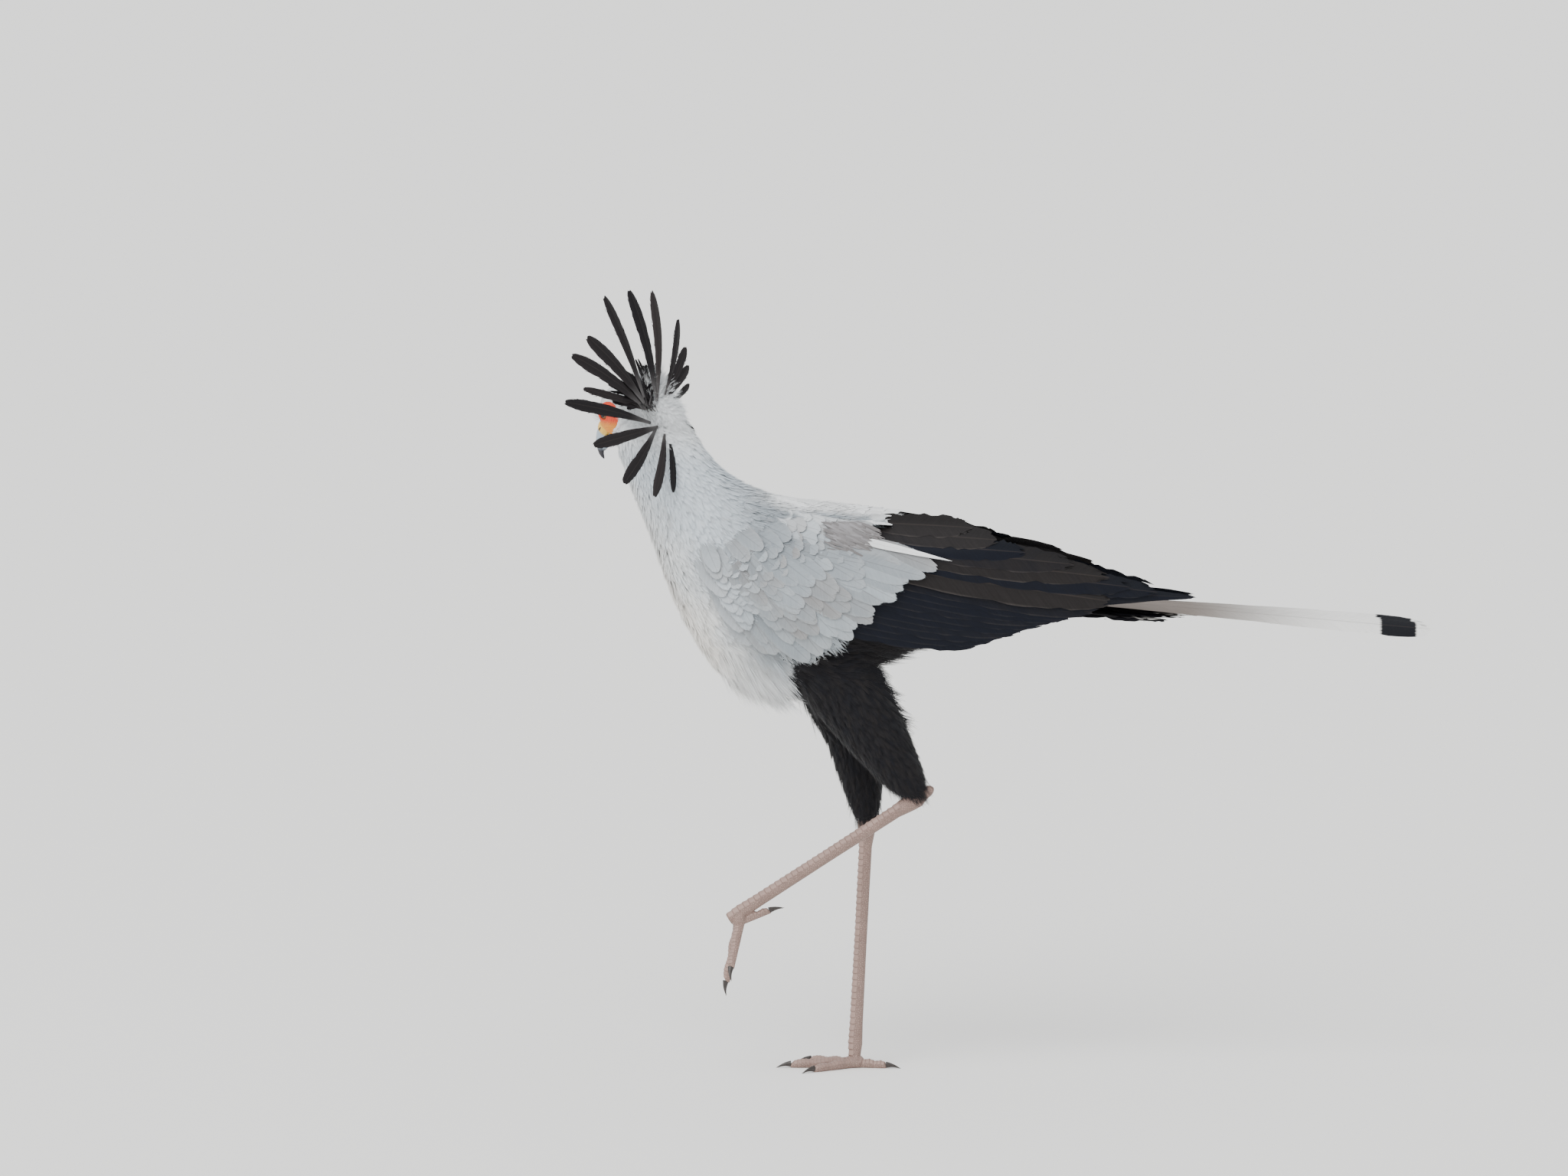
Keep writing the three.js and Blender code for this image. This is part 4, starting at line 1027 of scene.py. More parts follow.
flight_finish = vane_finish("flight feathers", flight_colour, 0.6, 1.2)
SECONDARIES = 13
SECONDARY_WIDTH = 40
SECONDARY_ROOTS = ([-86, 628], [16, 716])
SECONDARY_TIPS = ([0, 0.25, 0.5, 0.75, 1], [158, 214, 262, 312, 344], [590, 606, 621, 630, 652])
TERTIALS = [
    # root x, root z, tip x, tip z, width, and how far it has faded to brown
    (20, 704, 398, 657, 38, 0.15), (10, 700, 337, 645, 50, 0.95), (14, 710, 366, 664, 44, 0.2),
    (16, 718, 334, 678, 40, 0.75), (14, 728, 288, 696, 38, 0.6), (10, 732, 222, 713, 34, 0.05),
    (6, 741, 186, 729, 30, 0.75), (-6, 750, 150, 743, 28, 0.9),
]
PRIMARIES = 7
PRIMARY_WIDTH = 23
PRIMARY_ROOT = (150, 652)
PRIMARY_ROOT_RISE = 14
PRIMARY_TIPS = ([0, 0.5, 1], [388, 420, 452], [645, 647, 648])
# so that the tips of the two wings don't cut through each other over the rump
FAR_WING_LOWER = 8


def over_rump(side, points):
    """The folded wing's side, drawn in over the rump where the two wings meet."""
    placed = on_wing(side, *points.T)
    placed[:, 1] *= 1 - 0.6 * smooth_step(placed[:, 2], 716, 760)
    if side > 0:
        placed[:, 2] -= FAR_WING_LOWER * smooth_step(placed[:, 0], 20, 90)
    return placed


def flight_vane(piece, side, root, tip, depths, width, **more):
    root, tip = np.asarray(root, float), np.asarray(tip, float)
    way = unit(tip - root)
    add_vane(
        piece,
        (root[0], depths[0], root[1]),
        (tip[0], depths[1], tip[1]),
        (-way[1], -0.1, way[0]),
        (0, 1, 0),
        width,
        mapped=lambda p: over_rump(side, p),
        size=(20, 9),
        **more,
    )


def flight_feathers(name, side):
    secondaries, primaries = Piece(cells=5), Piece(cells=3)
    for share in np.linspace(0, 1, SECONDARIES):
        root = np.array(SECONDARY_ROOTS[0]) * (1 - share) + np.array(SECONDARY_ROOTS[1]) * share
        tip = [np.interp(share, SECONDARY_TIPS[0], c) for c in SECONDARY_TIPS[1:]]
        depths = (7 + 2.5 * share, 6 + 5 * share + chance.uniform(-0.5, 0.5))
        more = {"tone": chance.uniform(0, 0.35), "ragged": 0.05, "camber": 0.03}
        flight_vane(secondaries, side, root, tip, depths, SECONDARY_WIDTH, **more)
    for order, (*root, tip_x, tip_z, width, tone) in enumerate(TERTIALS):
        depths = (11 + 1.2 * order, 12 + order)
        more = {"tone": tone, "ragged": 0.07}
        flight_vane(secondaries, side, root, (tip_x, tip_z), depths, width, **more)
    for share in np.linspace(0, 1, PRIMARIES):
        root = (PRIMARY_ROOT[0], PRIMARY_ROOT[1] + PRIMARY_ROOT_RISE * share)
        tip = [np.interp(share, PRIMARY_TIPS[0], c) for c in PRIMARY_TIPS[1:]]
        depth = 2.5 + 2.2 * share
        more = {"tone": 0.1, "ragged": 0.04, "shape": POINTED}
        flight_vane(primaries, side, root, tip, (depth, depth), PRIMARY_WIDTH, **more)
    for kind, piece in (("secondar", secondaries), ("primar", primaries)):
        nodes = [f"wing_{name}_{kind}ies"]
        piece.build(f"wing_{name}_{kind}y_vanes", flight_finish, "flight_feathers", nodes)


for side_name, side in SIDES.items():
    flight_feathers(side_name, side)

# %% [markdown]
# Long white scapulars grow from the shoulder blades and bridge the back and the top of the
# wing, so no gap opens between them. Behind them is a patch of short worn feathers, and one
# long white feather lies under it over the black ones.

# %% Scapulars and mantle


def scapular_colour(finish):
    place, tone = finish.place(), finish.number("tone")
    base = pale_plumage(finish, place, finish.noise(place, 0.02))
    colour = finish.blend(place.axis(2).above(716, 790) * 0.7, base, WHITE)
    worn_part = (tone * 0.5 + finish.noise(place, 0.03)).above(0.68, 0.9)
    colour = finish.blend(worn_part * place.axis(2).above(764, 742) * 0.6, colour, BEIGE_GREY)
    # painted shade: each feather is darker towards its root, where the feathers over it lie
    shade = finish.number("along").above(0.0, 0.7) * 0.16 + 0.84
    return colour * (shade * (streaks(finish, 0.35) * 0.2 + 0.9))


scapular_finish = vane_finish("scapulars", scapular_colour, 0.8)
SCAPULAR_ROWS = [
    # tips: first x and z, last x and z, how many, length, width, depths of root and tip
    (-96, 718, -26, 716, 6, 66, 24, 10, 17),
    (-100, 733, -14, 729, 7, 74, 24, 9, 17),
    (-96, 748, 0, 741, 8, 80, 23, 8, 16),
    (-90, 760, 16, 751, 8, 88, 22, 7, 13.5),
    (-84, 769, 40, 757, 8, 96, 22, 5, 10),
]
WHITE_FEATHER = {"root": (-14, 735), "tip": (122, 704), "depths": (18, 25), "width": 10}
BRIGHT_PLACE = np.array([0, 0, 765])
BACK_LINE = (
    [-216, -150, -40, 12, 58, 98, 132, 160, 200],
    [838, 788, 769, 763, 756, 741, 719, 699, 664],
)
# the back falls away to either side with the square of the distance, as far as its half width
BACK_FALL = 0.009
BACK_HALF = 38
# how far the scapulars of each side may reach above the back
OVER_BACK = {-1: 1, 1: -3}
MANTLE_LINES = 8
MANTLE_HALF = 33
MANTLE_LONG = 62
MANTLE_WIDTH = 19
MANTLE_STEP = 19
# the worn patch: its strands, and the heights at which they grow
WORN_STRANDS = 420
WORN_MIDDLE = 744
WORN_REACH = (722, 754)


def back_top(x, away):
    """Height of the back at x, and at a distance away from the bird's middle plane."""
    return np.interp(x, *BACK_LINE) - BACK_FALL * np.minimum(np.abs(away), BACK_HALF) ** 2


def on_back(points):
    """Points over the back, from x, y and a height over the back itself."""
    x, y, height = points.T
    return np.stack([x, y, back_top(x, y) + height], axis=1)


def under_back(side, points):
    """The folded wing's side, turned in over the back where it would stand above it."""
    x, y, z = on_wing(side, *points.T).T
    spare = np.maximum(0, z - back_top(x, y) - 1)
    away = np.abs(y) - 1.3 * spare
    return np.stack([x, side * away, np.minimum(z, back_top(x, away) + OVER_BACK[side])], axis=1)


def scapulars(name, side):
    piece = Piece(cells=8)

    def lay(root, tip, depths, width, **more):
        way = unit(np.asarray(tip, float) - root)
        first, last = (root[0], depths[0], root[1]), (tip[0], depths[1], tip[1])
        across = (-way[1], -0.05, way[0])
        more = {"mapped": lambda p: under_back(side, p), "size": (13, 7), **more}
        add_vane(piece, first, last, across, (0, 1, 0), width, **more)

    lay(**WHITE_FEATHER, shape=TAPERED, tone=0.1, ragged=0.03, place=BRIGHT_PLACE)
    for x0, z0, x1, z1, count, length, width, low, high in SCAPULAR_ROWS:
        for share in np.linspace(0, 1, count):
            tip = np.array([x0 + (x1 - x0) * share, z0 + (z1 - z0) * share])
            tip = tip + chance.uniform((-6, -2), (6, 2))
            slope = math.radians(-16 + 6 * share + chance.normal(0, 3))
            long = length * (0.6 + 0.4 * share) * chance.uniform(0.9, 1.1)
            root = tip - np.array([math.cos(slope), math.sin(slope)]) * long
            sunk = np.interp((root[0], tip[0]), [-220, -60], [20, 0])
            depths = np.array([low - 4, high]) - sunk
            lay(root, tip, depths, width * chance.uniform(0.8, 1.15), ragged=0.06, loose=30)
    piece.build(f"scapulars_{name}", scapular_finish, "body_plumage")


def mantle():
    piece = Piece(cells=12)
    more = {"mapped": on_back, "size": (12, 7), "ragged": 0.05, "camber": 0.04, "loose": 12}
    for y in np.linspace(-MANTLE_HALF, MANTLE_HALF, MANTLE_LINES):
        for reach in range(-7, 9):
            tip_x = 58 - 0.5 * abs(y) - MANTLE_STEP * reach + chance.uniform(-6, 6)
            sunk = max(reach, 0)
            lower = 7 if reach < 0 else 0
            tip = (tip_x, y * 0.9 + chance.uniform(-2, 2), 4.0 - 0.6 * sunk - lower)
            root_x = tip_x - (MANTLE_LONG - 3 * sunk)
            root = (root_x, y + chance.uniform(-2, 2), -3.0 - 0.8 * sunk - lower)
            add_vane(piece, root, tip, (0, 1, 0), (0, 0, 1), MANTLE_WIDTH, **more)
    piece.build("mantle", scapular_finish, "body_plumage")


def worn_patch(name, side):
    """Frayed grey-brown ends where the scapulars rub against the tertials."""
    piece = Piece()
    for _ in range(WORN_STRANDS):
        x, depth, z = chance.normal(-24, 14), chance.uniform(18, 19.5), chance.normal(WORN_MIDDLE, 8)
        z = np.clip(z, *WORN_REACH)
        root = np.array([min(x, -0.4 * abs(z - WORN_MIDDLE)), depth, z])
        slope = math.radians(-17 + chance.normal(0, 5))
        way = np.array([math.cos(slope), chance.uniform(0, 0.12), math.sin(slope)])
        aside = np.array([-way[2], 0, way[0]])
        length = chance.uniform(12, 36)
        stops = np.linspace(0, 1, 5)[:, None]
        line = root + way * length * stops + (0, -0.1 * length, -0.06 * length) * stops**2
        half = 1.5 * np.sin(np.pi * (0.08 + 0.87 * stops))
        tone = chance.random()
        add_ribbon(piece, line, aside, half, stops, tone, lambda points: on_wing(side, *points.T))
    finish = Finish("worn feathers", {"Roughness": 0.9, "Sheen Weight": 0.1})
    mixed = finish.blend(finish.number("tone"), paint(144, 142, 144), paint(108, 105, 105))
    darker = finish.number("along").above(0.2, 1.0) * 0.3
    finish.wear({"Base Color": finish.blend(darker, mixed, paint(104, 96, 91))})
    piece.build(f"worn_patch_{name}", finish.material, "body_plumage")


for side_name, side in SIDES.items():
    scapulars(side_name, side)
    worn_patch(side_name, side)
mantle()

# %% [markdown]
# The tail is carried level. Two middle feathers run far past all the others: beige-grey at the
# root, paler along their length, with a black band and a white tip. The shorter side feathers
# beneath are dark with pale ends, and white coverts round off the top of the tail.

# %% Tail
TAIL_ROOT = (176, 648)
MIDDLE_TIP = (769, 599)
MIDDLE_WIDTH = 46
MIDDLE_SHAPE = {"root": 0.45, "widest": 0.8, "blunt": 3.0}
BAND = (0.884, 0.966)
# the side feathers: pairs, reach of the innermost one past the root, and height of its tip
SIDE_PAIRS = 5
SIDE_LONG = 292
SIDE_TIP_Z = 622
SIDE_FEATHER_WIDTH = 34
TAIL_COVERT_PAIRS = 9


def middle_tail_colour(finish):
    along, tone = finish.number("along"), finish.number("tone")
    where = finish.node("ShaderNodeCombineXYZ", {}, {0: finish.number("across") * 4, 1: tone})
    along = along + finish.noise(where, 3) * 0.012
    colour = finish.blend(along.above(0.44, 0.83), paint(122, 114, 108), paint(238, 237, 234))
    colour = colour * (streaks(finish, 0.25) * 0.24 + 0.88)
    band = along.above(BAND[0], BAND[0] + 0.008) * along.above(BAND[1] + 0.006, BAND[1])
    return finish.blend(band, colour, paint(15, 16, 22))


def side_tail_colour(finish):
    along, tone = finish.number("along"), finish.number("tone")
    streak = streaks(finish, 0.06)
    pale_end = (along + streak * 0.3).above(0.93, 1.02) * tone.above(0.1, 0.3)
    dark = finish.blend(tone * 0.6, paint(22, 22, 27), paint(66, 64, 65))
    return finish.blend(pale_end * 0.85, dark, paint(212, 209, 204))


def tail_vane(piece, root, tip, width, bow, roll=0.0, twist=0.0, **more):
    """A vane that lies flat, rolled about its shaft, and twisted more and more to its tip."""
    root, tip = np.asarray(root, float), np.asarray(tip, float)
    way = unit(tip - root)

    def twisted(points):
        share = np.clip((points - root) @ way / np.linalg.norm(tip - root), 0, 1)
        shaft = root + np.outer((points - root) @ way, way)
        off = points - shaft
        turn = math.radians(twist) * share[:, None] ** 1.2
        return shaft + off * np.cos(turn) + np.cross(way, off) * np.sin(turn)

    turn = np.array(Matrix.Rotation(math.radians(roll), 3, Vector(way)))
    across = turn @ unit(np.array([-way[1], way[0], 0]))
    facing = np.cross(way, across)
    more = {"bow": bow, "size": (24, 9), "mapped": twisted, **more}
    add_vane(piece, root, tip, across, facing, width, **more)


middle_pair, side_feathers, tail_coverts = Piece(cells=2), Piece(cells=4), Piece(cells=5)
for side in (1, -1):
    root = (TAIL_ROOT[0], 10 * side, TAIL_ROOT[1] + 1.3 * side)
    tip = (MIDDLE_TIP[0] - (6 if side > 0 else 0), 8 * side, MIDDLE_TIP[1] + 1.3 * side)
    more = {"twist": 28, "shape": MIDDLE_SHAPE, "ragged": 0.03, "loose": 30}
    tail_vane(middle_pair, root, tip, MIDDLE_WIDTH, 0.003, **more)
    for i in range(SIDE_PAIRS):
        wide = 4 + 4.5 * i
        drop = 1.1 * (2 * i + (1 if side > 0 else 2))
        root = (TAIL_ROOT[0], side * wide * 0.5, TAIL_ROOT[1] + 2 - drop)
        tip_x = TAIL_ROOT[0] + SIDE_LONG - 15 * i + chance.uniform(-8, 8)
        tip = (tip_x, side * wide, SIDE_TIP_Z - 0.7 * drop)
        more = {"roll": -4.0 * side * i, "camber": 0.02, "ragged": 0.16, "loose": 30}
        tail_vane(side_feathers, root, tip, SIDE_FEATHER_WIDTH, -0.007, **more)
    for i in range(TAIL_COVERT_PAIRS):
        wide = chance.uniform(2, 24)
        start = 128 + 8 * i
        root = (start, side * wide * 0.8, TAIL_ROOT[1] + 16 - 0.8 * i)
        tip = (start + chance.uniform(72, 96), side * (wide + 3), TAIL_ROOT[1] + 7 - 1.1 * i)
        tail_vane(tail_coverts, root, tip, 28, 0.02, roll=-side * wide, ragged=0.06, loose=16)
middle_finish = vane_finish("middle tail feathers", middle_tail_colour, 0.7, 1.1)
side_finish = vane_finish("side tail feathers", side_tail_colour, 0.6, 1.1)
middle_pair.build("tail_middle_pair", middle_finish, "tail_feathers", ["tail"])
side_feathers.build("tail_side_feathers", side_finish, "tail_feathers")
tail_coverts.build("tail_coverts", scapular_finish, "body_plumage")

# %% [markdown]
# The crest stands open like a fan on the nape. Its feathers have a thin stalk and a blade that
# is widest near its blunt tip. Each is given as the left side view shows it: its direction in
# degrees from straight up towards the bill, its reach, and the width of its blade. The fan's
# own plane turns that into space. Short feathers are set between them by chance.

# %% Crest
FAN_NORMAL = unit(np.array([0.62, -0.74, 0.26]))
# how far the fan is cupped towards the side that its normal points to
FAN_CONE = 0.15
VIEW_ELEVATION = math.radians(8)
TO_VIEWER = np.array([0, -1, math.tan(VIEW_ELEVATION)])
CREST = [
    # clock, reach and width, then where its root is, to the right of and above the fan's middle
    (26, 164, 18, -18, 10), (14, 161, 18, -1, 5), (3, 156, 16, -1, 6), (-13, 121, 14, 8, 8),
    (-25, 88, 12, 8, 8), (-37, 68, 12, 8, 6), (-55, 51, 9, 12, -2), (-125, 60, 8, 16, -18),
    (-131, 71, 6, 14, -20), (46, 132, 21, -18, 3), (60, 133, 18, -18, -3), (78, 102, 10, -16, -6),
    (89, 124, 17, -10, -24), (123, 103, 17, 2, -29), (157, 117, 18, -3, -33),
    (178, 126, 14, 9, -32), (-170, 121, 10, 14, -32),
]
SPATULA = {"root": 0.26, "widest": 0.74, "blunt": 2.0, "swell": 1.35}
SHORT_ONES = 62


def on_fan(x, z):
    """A point of the open fan, from how far it shows right of and above the fan's middle."""
    away = FAN_NORMAL[0] * x + FAN_NORMAL[2] * z - FAN_CONE * math.hypot(x, z)
    away = away / -FAN_NORMAL[1]
    return NAPE_AT + (x, away, z - away * math.tan(VIEW_ELEVATION))


def crest_colour(finish):
    tone, across = finish.number("tone"), finish.number("across")
    colour = finish.blend(tone, paint(21, 19, 22), paint(44, 39, 39))
    root = finish.number("along").above(0.3, 0.05) * 0.4
    colour = finish.blend(root, colour, paint(120, 118, 118))
    return colour * (abs(across).above(0.3, 1.0) * 0.35 + 0.85)


def crest_feather(piece, clock, reach, width, root_at, near, tone=None, proud=0.0, loose=20):
    """
    One feather of the fan. Near brings its root out of the nape, towards the side that the
    head is turned from, and proud lifts all of it off the fan's plane.
    """
    turn = math.radians(clock)
    tip = on_fan(-reach * math.sin(turn), reach * math.cos(turn)) + TO_VIEWER * proud
    root = on_fan(*root_at) + TO_VIEWER * (near + 0.6 * proud)
    way = unit(tip - root)
    across = unit(np.cross(way, FAN_NORMAL))
    facing = np.cross(across, way)
    bow = 0.05 + 0.012 * chance.normal()
    across = across + facing * chance.normal(0, 0.15)
    more = {"tone": tone, "bow": bow, "camber": 0.1, "ragged": 0.03, "size": (24, 7)}
    add_vane(piece, root, tip, across, facing, width, SPATULA, loose=loose, **more)


crest = Piece(cells=9)
for clock, reach, width, *root_at in CREST:
    proud = np.interp(abs(clock), [40, 60, 80, 150], [8, 1, 0, 10])
    near = np.interp(abs(clock), [50, 100], [26, 0])
    crest_feather(crest, clock, reach, width, root_at, near, proud=proud)
for _ in range(SHORT_ONES):
    clock, reach, width = chance.normal(38, 24), chance.uniform(38, 74), chance.uniform(4, 8)
    root_at, near = chance.uniform((-20, -10), (2, 6)), chance.uniform(4, 28)
    crest_feather(crest, clock, reach, width, root_at, near, 0.2, chance.uniform(0, 6), 5)
crest_finish = vane_finish("crest", crest_colour, 0.6, 1.0)
crest.build("crest_vanes", crest_finish, "crest_feathers", ["crest"])

# %% [markdown]
# Loose down stands up round the roots of the crest, hangs from the belly in front of the
# thighs and from the vent behind them, and makes a cuff over each hock. These tufts are not
# walked over the skin: each is a spray of fine strands that leaves the body at an angle.

# %% Loose down
DOWN_DROOP = 0.1
DOWN_SUNK = 4


def standing_down(
    name, wanted, gap, length, width, way_of, strands=8, rows=4, slot="body_plumage"
):
    """A piece of down on the faces wanted. way_of gives the way that it leaves the body."""
    faces, roots = spread_roots(wanted, gap)
    count = len(faces)
    _, normals = nearest_on_skin(roots)
    ways = unit(way_of(roots, normals) + chance.normal(0, 0.13, (count, 3)))
    long = np.broadcast_to(length, len(face_middles))[faces] * chance.uniform(0.6, 1.25, count)
    facing = unit(np.cross(np.cross(ways, normals), ways))
    stops = np.linspace(0, 1, rows + 1)
    start = roots - normals * DOWN_SUNK
    lines = start[:, None] + ways[:, None] * (long[:, None] * stops)[..., None]
    lines = lines - facing[:, None] * (DOWN_DROOP * long[:, None] * stops**2)[..., None]
    shape = (count, rows + 1, 3)
    facing, ways = np.broadcast_to(facing[:, None], shape), np.broadcast_to(ways[:, None], shape)
    piece = Piece()
    sizes = long, np.full(count, width), np.zeros(count)
    add_in_kinds(
        piece,
        lines,
        facing,
        ways,
        sizes,
        roots,
        face_uv[faces],
        lambda: strand_pattern(strands, rows, 0.6, False),
    )
    piece.build(name, coat_finish, slot)


def fan_ways(roots, normals):
    from_nape = roots - NAPE_AT
    radial = from_nape - FAN_NORMAL * (from_nape @ FAN_NORMAL)[:, None] * 0.5
    radial = radial / np.maximum(np.linalg.norm(radial, axis=1, keepdims=True), 24)
    return 0.5 * radial + 0.55 * normals + 0.15 * FAN_NORMAL + 0.35 * lie_of(roots, normals)


def belly_ways(roots, normals):
    fall = 0.35 + 0.5 * smooth_step(roots[:, 0], -90, -130)
    hanging = np.stack([0 * fall + 0.1, 0 * fall, -fall], axis=1)
    return lie_of(roots, normals) + 0.35 * normals + hanging


def vent_ways(roots, normals):
    return lie_of(roots, normals) + 0.3 * normals + np.array([0.5, 0, -0.3])


def thigh_ways(roots, normals):
    ways = np.zeros_like(roots)
    for side, line in THIGHS.items():
        ways[roots[:, 1] * side > 0] = unit(line[-1] - line[-2])
    return ways + 0.16 * normals


near_nape = np.linalg.norm((face_middles - NAPE_AT) / (1, 1, 1.3), axis=1) < 56
near_nape &= (stop < 0.2) & ~bare & (to_head[:, 0] < -8)
tall = 14 + 15 * smooth_step(face_z, 908, 945)
standing_down("nape_down", near_nape, 2.7, tall, 7, fan_ways)
in_belly = (face_z < 590) & (face_x < -70) & (face_x > -196) & ~thigh_zone
standing_down("belly_down", in_belly, 4.6, 42, 11, belly_ways)
in_vent = trunk_zone & (face_x > -20) & (face_x < 130) & (face_z < 612 + 0.08 * face_x)
standing_down("vent_down", in_vent, 5.5, 36, 10, vent_ways)
lowest = np.where(face_y < 0, THIGHS[-1][-1, 2], THIGHS[1][-1, 2])
at_hock = thigh_zone & (face_z < lowest + 46)
standing_down("thigh_cuffs", at_hock, 3.4, 25, 5, thigh_ways, 6, 3, slot="thigh_plumage")

# %% [markdown]
# The face has no feathers from the bill to behind the eye. Its orange skin is folded in fine
# rings round the eye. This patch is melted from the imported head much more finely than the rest
# of the skin, and stands a little proud of it, so that the cheek feathers hide its edge.

# %% Bare face
EYE_AT = (10, 13.5, 6)
FOLD_GAP = 2.6
FOLD_HIGH = 0.24
FACE_VOXEL = 0.0008
FACE_PASSES = 5


def face_folds(head):
    """Height of the folds, in millimetres, at points in the head's frame."""
    off_eye = np.hypot(head[:, 0] - EYE_AT[0], head[:, 2] - EYE_AT[2])
    turn = np.arctan2(head[:, 2] - EYE_AT[2], head[:, 0] - EYE_AT[0])
    wander = 0.9 * np.sin(3 * turn + 0.2 * off_eye) + 0.6 * np.sin(7 * turn + 1)
    rings = np.sin((off_eye + wander) * 2 * np.pi / FOLD_GAP)
    broken = 0.65 + 0.35 * np.sin(4 * turn + 0.9 * off_eye)
    fade = smooth_step(off_eye, 8, 11) * smooth_step(off_eye, 27, 15)
    pores = np.sin(head[:, 0] * 3.7) * np.sin(head[:, 2] * 4.1 + 1) * 0.1
    return FOLD_HIGH * rings * broken * fade + pores


def face_colour(finish):
    place = finish.place()
    towards_bill = (place.axis(0) - place.axis(2) * 0.8).above(13, 27)
    cloud = finish.noise(place, 0.35)
    colour = finish.blend(cloud, paint(214, 38, 14), paint(232, 78, 20))
    colour = finish.blend(towards_bill * 0.85, colour, paint(234, 158, 30))
    # painted shade: the skin is darker red in the hollows between the folds
    fold_shade = finish.number("along").above(0.2, -0.25) * 0.4
    return finish.blend(fold_shade, colour, paint(150, 48, 26))


def bare_face():
    mesh = melted(["head"], [], FACE_VOXEL, FACE_PASSES, grow=0.0002)
    points, normals, faces = arrays_of(mesh)
    points = points + normals * face_folds(in_head(points))[:, None]
    keep = (on_bare_face(points) > -0.35) | (in_head(points)[:, 0] > 26)
    faces = faces[keep[faces].all(axis=1)]
    used, faces = np.unique(faces, return_inverse=True)
    piece = Piece()
    head = in_head(points[used])
    piece.add(points[used], faces.reshape(-1, 4), head, along=face_folds(head))
    finish = Finish("bare face", {"Roughness": 0.5, "Subsurface Weight": 0.12})
    finish.shader.inputs["Subsurface Radius"].default_value = (0.004, 0.0015, 0.001)
    finish.wear({"Base Color": face_colour(finish)})
    finish.relief(finish.noise(finish.place(), 2.2), 0.0003)
    piece.build("bare_face", finish.material, "face_skin", ["head"])


bare_face()

# %% [markdown]
# Each eye is a brown iris round a black pupil under a clear coat. Long black lashes stand out
# over it, as on few other birds. Each lash is one thin, curved ribbon that tapers to its end,
# and the lashes are longest over the middle of the eye.

# %% Eyes and lashes
EYE_RADIUS = 9
EYE_RINGS = 24
EYE_SIDES = 32
LID_OUT = 20.4
LID_RADIUS = 8.2
LASHES = 26
LASH_WIDTH = 0.55
LASH_CURVE = np.array([0.05, 0, 0.28])
LASH_STOPS = np.linspace(0, 1, 6)[:, None]


def eye_finish():
    gloss = {"Roughness": 0.2, "Specular IOR Level": 0.25}
    clear = {"Coat Weight": 0.3, "Coat Roughness": 0.04}
    finish = Finish("eye", {**gloss, **clear})
    turn = finish.number("along")
    fibres = finish.noise(finish.place(), 1.4)
    iris = finish.blend(fibres, paint(74, 44, 24), paint(126, 82, 46))
    colour = finish.blend(turn.above(0.135, 0.125), iris, paint(8, 7, 7))
    colour = finish.blend(turn.above(0.235, 0.26), colour, paint(30, 20, 16))
    finish.wear({"Base Color": colour})
    return finish.material


def eyeball(name, side, finish):
    """Rings from the pupil backwards. Along is 0 at the pupil and 1 at the back."""
    turn = np.linspace(0, np.pi, EYE_RINGS)[:, None]
    clock = np.linspace(0, 2 * np.pi, EYE_SIDES, endpoint=False)[None]
    pole = unit(np.array([0.22, side, 0.02]))
    first = unit(np.cross(pole, (0, 0, 1)))
    second = np.cross(pole, first)
    ball = (np.cos(turn) * np.ones_like(clock))[..., None] * pole
    ball = ball + (np.sin(turn) * np.cos(clock))[..., None] * first
    ball = ball + (np.sin(turn) * np.sin(clock))[..., None] * second
    points = (ball * EYE_RADIUS + (EYE_AT[0], side * EYE_AT[1], EYE_AT[2])).reshape(-1, 3)
    along = np.broadcast_to(turn / np.pi, (EYE_RINGS, EYE_SIDES)).ravel()
    faces = grid_faces(EYE_RINGS, EYE_SIDES, closed=True)
    piece = Piece()
    piece.add(from_head(points), faces, points, along=along)
    piece.build(name + "_ball", finish, "eye", [name])


def add_lash(piece, side, order):
    """One lash over the upper lid, from front to back by its order."""
    turn = math.radians(-8 + 196 * (order + chance.uniform(-0.3, 0.3)) / (LASHES - 1))
    out_way = np.array([math.cos(turn), 0, math.sin(turn)])
    at_lid = np.array([EYE_AT[0], side * LID_OUT, EYE_AT[2]]) + out_way * LID_RADIUS
    in_eye_way = unit(out_way * 0.8 + (0.25, side * 0.9, 0.1))
    length = 5 + 5.5 * math.sin(math.pi * min(1, max(0, (order + 3) / 30)))
    way = in_eye_way @ HEAD_AXES
    bend = LASH_CURVE @ HEAD_AXES
    aside = unit(np.cross(in_eye_way, out_way)) @ HEAD_AXES
    line = from_head(at_lid) + way * (length * LASH_STOPS) + bend * (length * LASH_STOPS**2)
    half = LASH_WIDTH / 2 * (1 - 0.85 * LASH_STOPS)
    add_ribbon(piece, line, aside, half, LASH_STOPS, 0.2)


wet_eye = eye_finish()
lashes = Piece()
for side_name, side in SIDES.items():
    eyeball(f"eye_{side_name}", side, wet_eye)
    for order in range(LASHES):
        add_lash(lashes, side, order)
lash_finish = Finish("lashes", {"Base Color": paint(16, 14, 14), "Roughness": 0.5})
lashes.build("lashes", lash_finish.material, "face_skin")

# %% [markdown]
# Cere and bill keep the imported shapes, melted finely to lose their facets. The cere is yellow
# and a little waxy. The bill is blue-grey horn that darkens to the hooked tip.

# %% Cere and bill
HORN_VOXEL = 0.0005
HORN_PASSES = 12
NOSTRIL_AT = (36.5, 0, 3.5)


def horn_piece(name, node, slot, finish, grow=0.0003):
    points, _, faces = arrays_of(melted([node], [], HORN_VOXEL, HORN_PASSES, grow))
    piece = Piece()
    piece.add(points, faces, in_head(points))
    piece.build(name, finish, slot, [node])


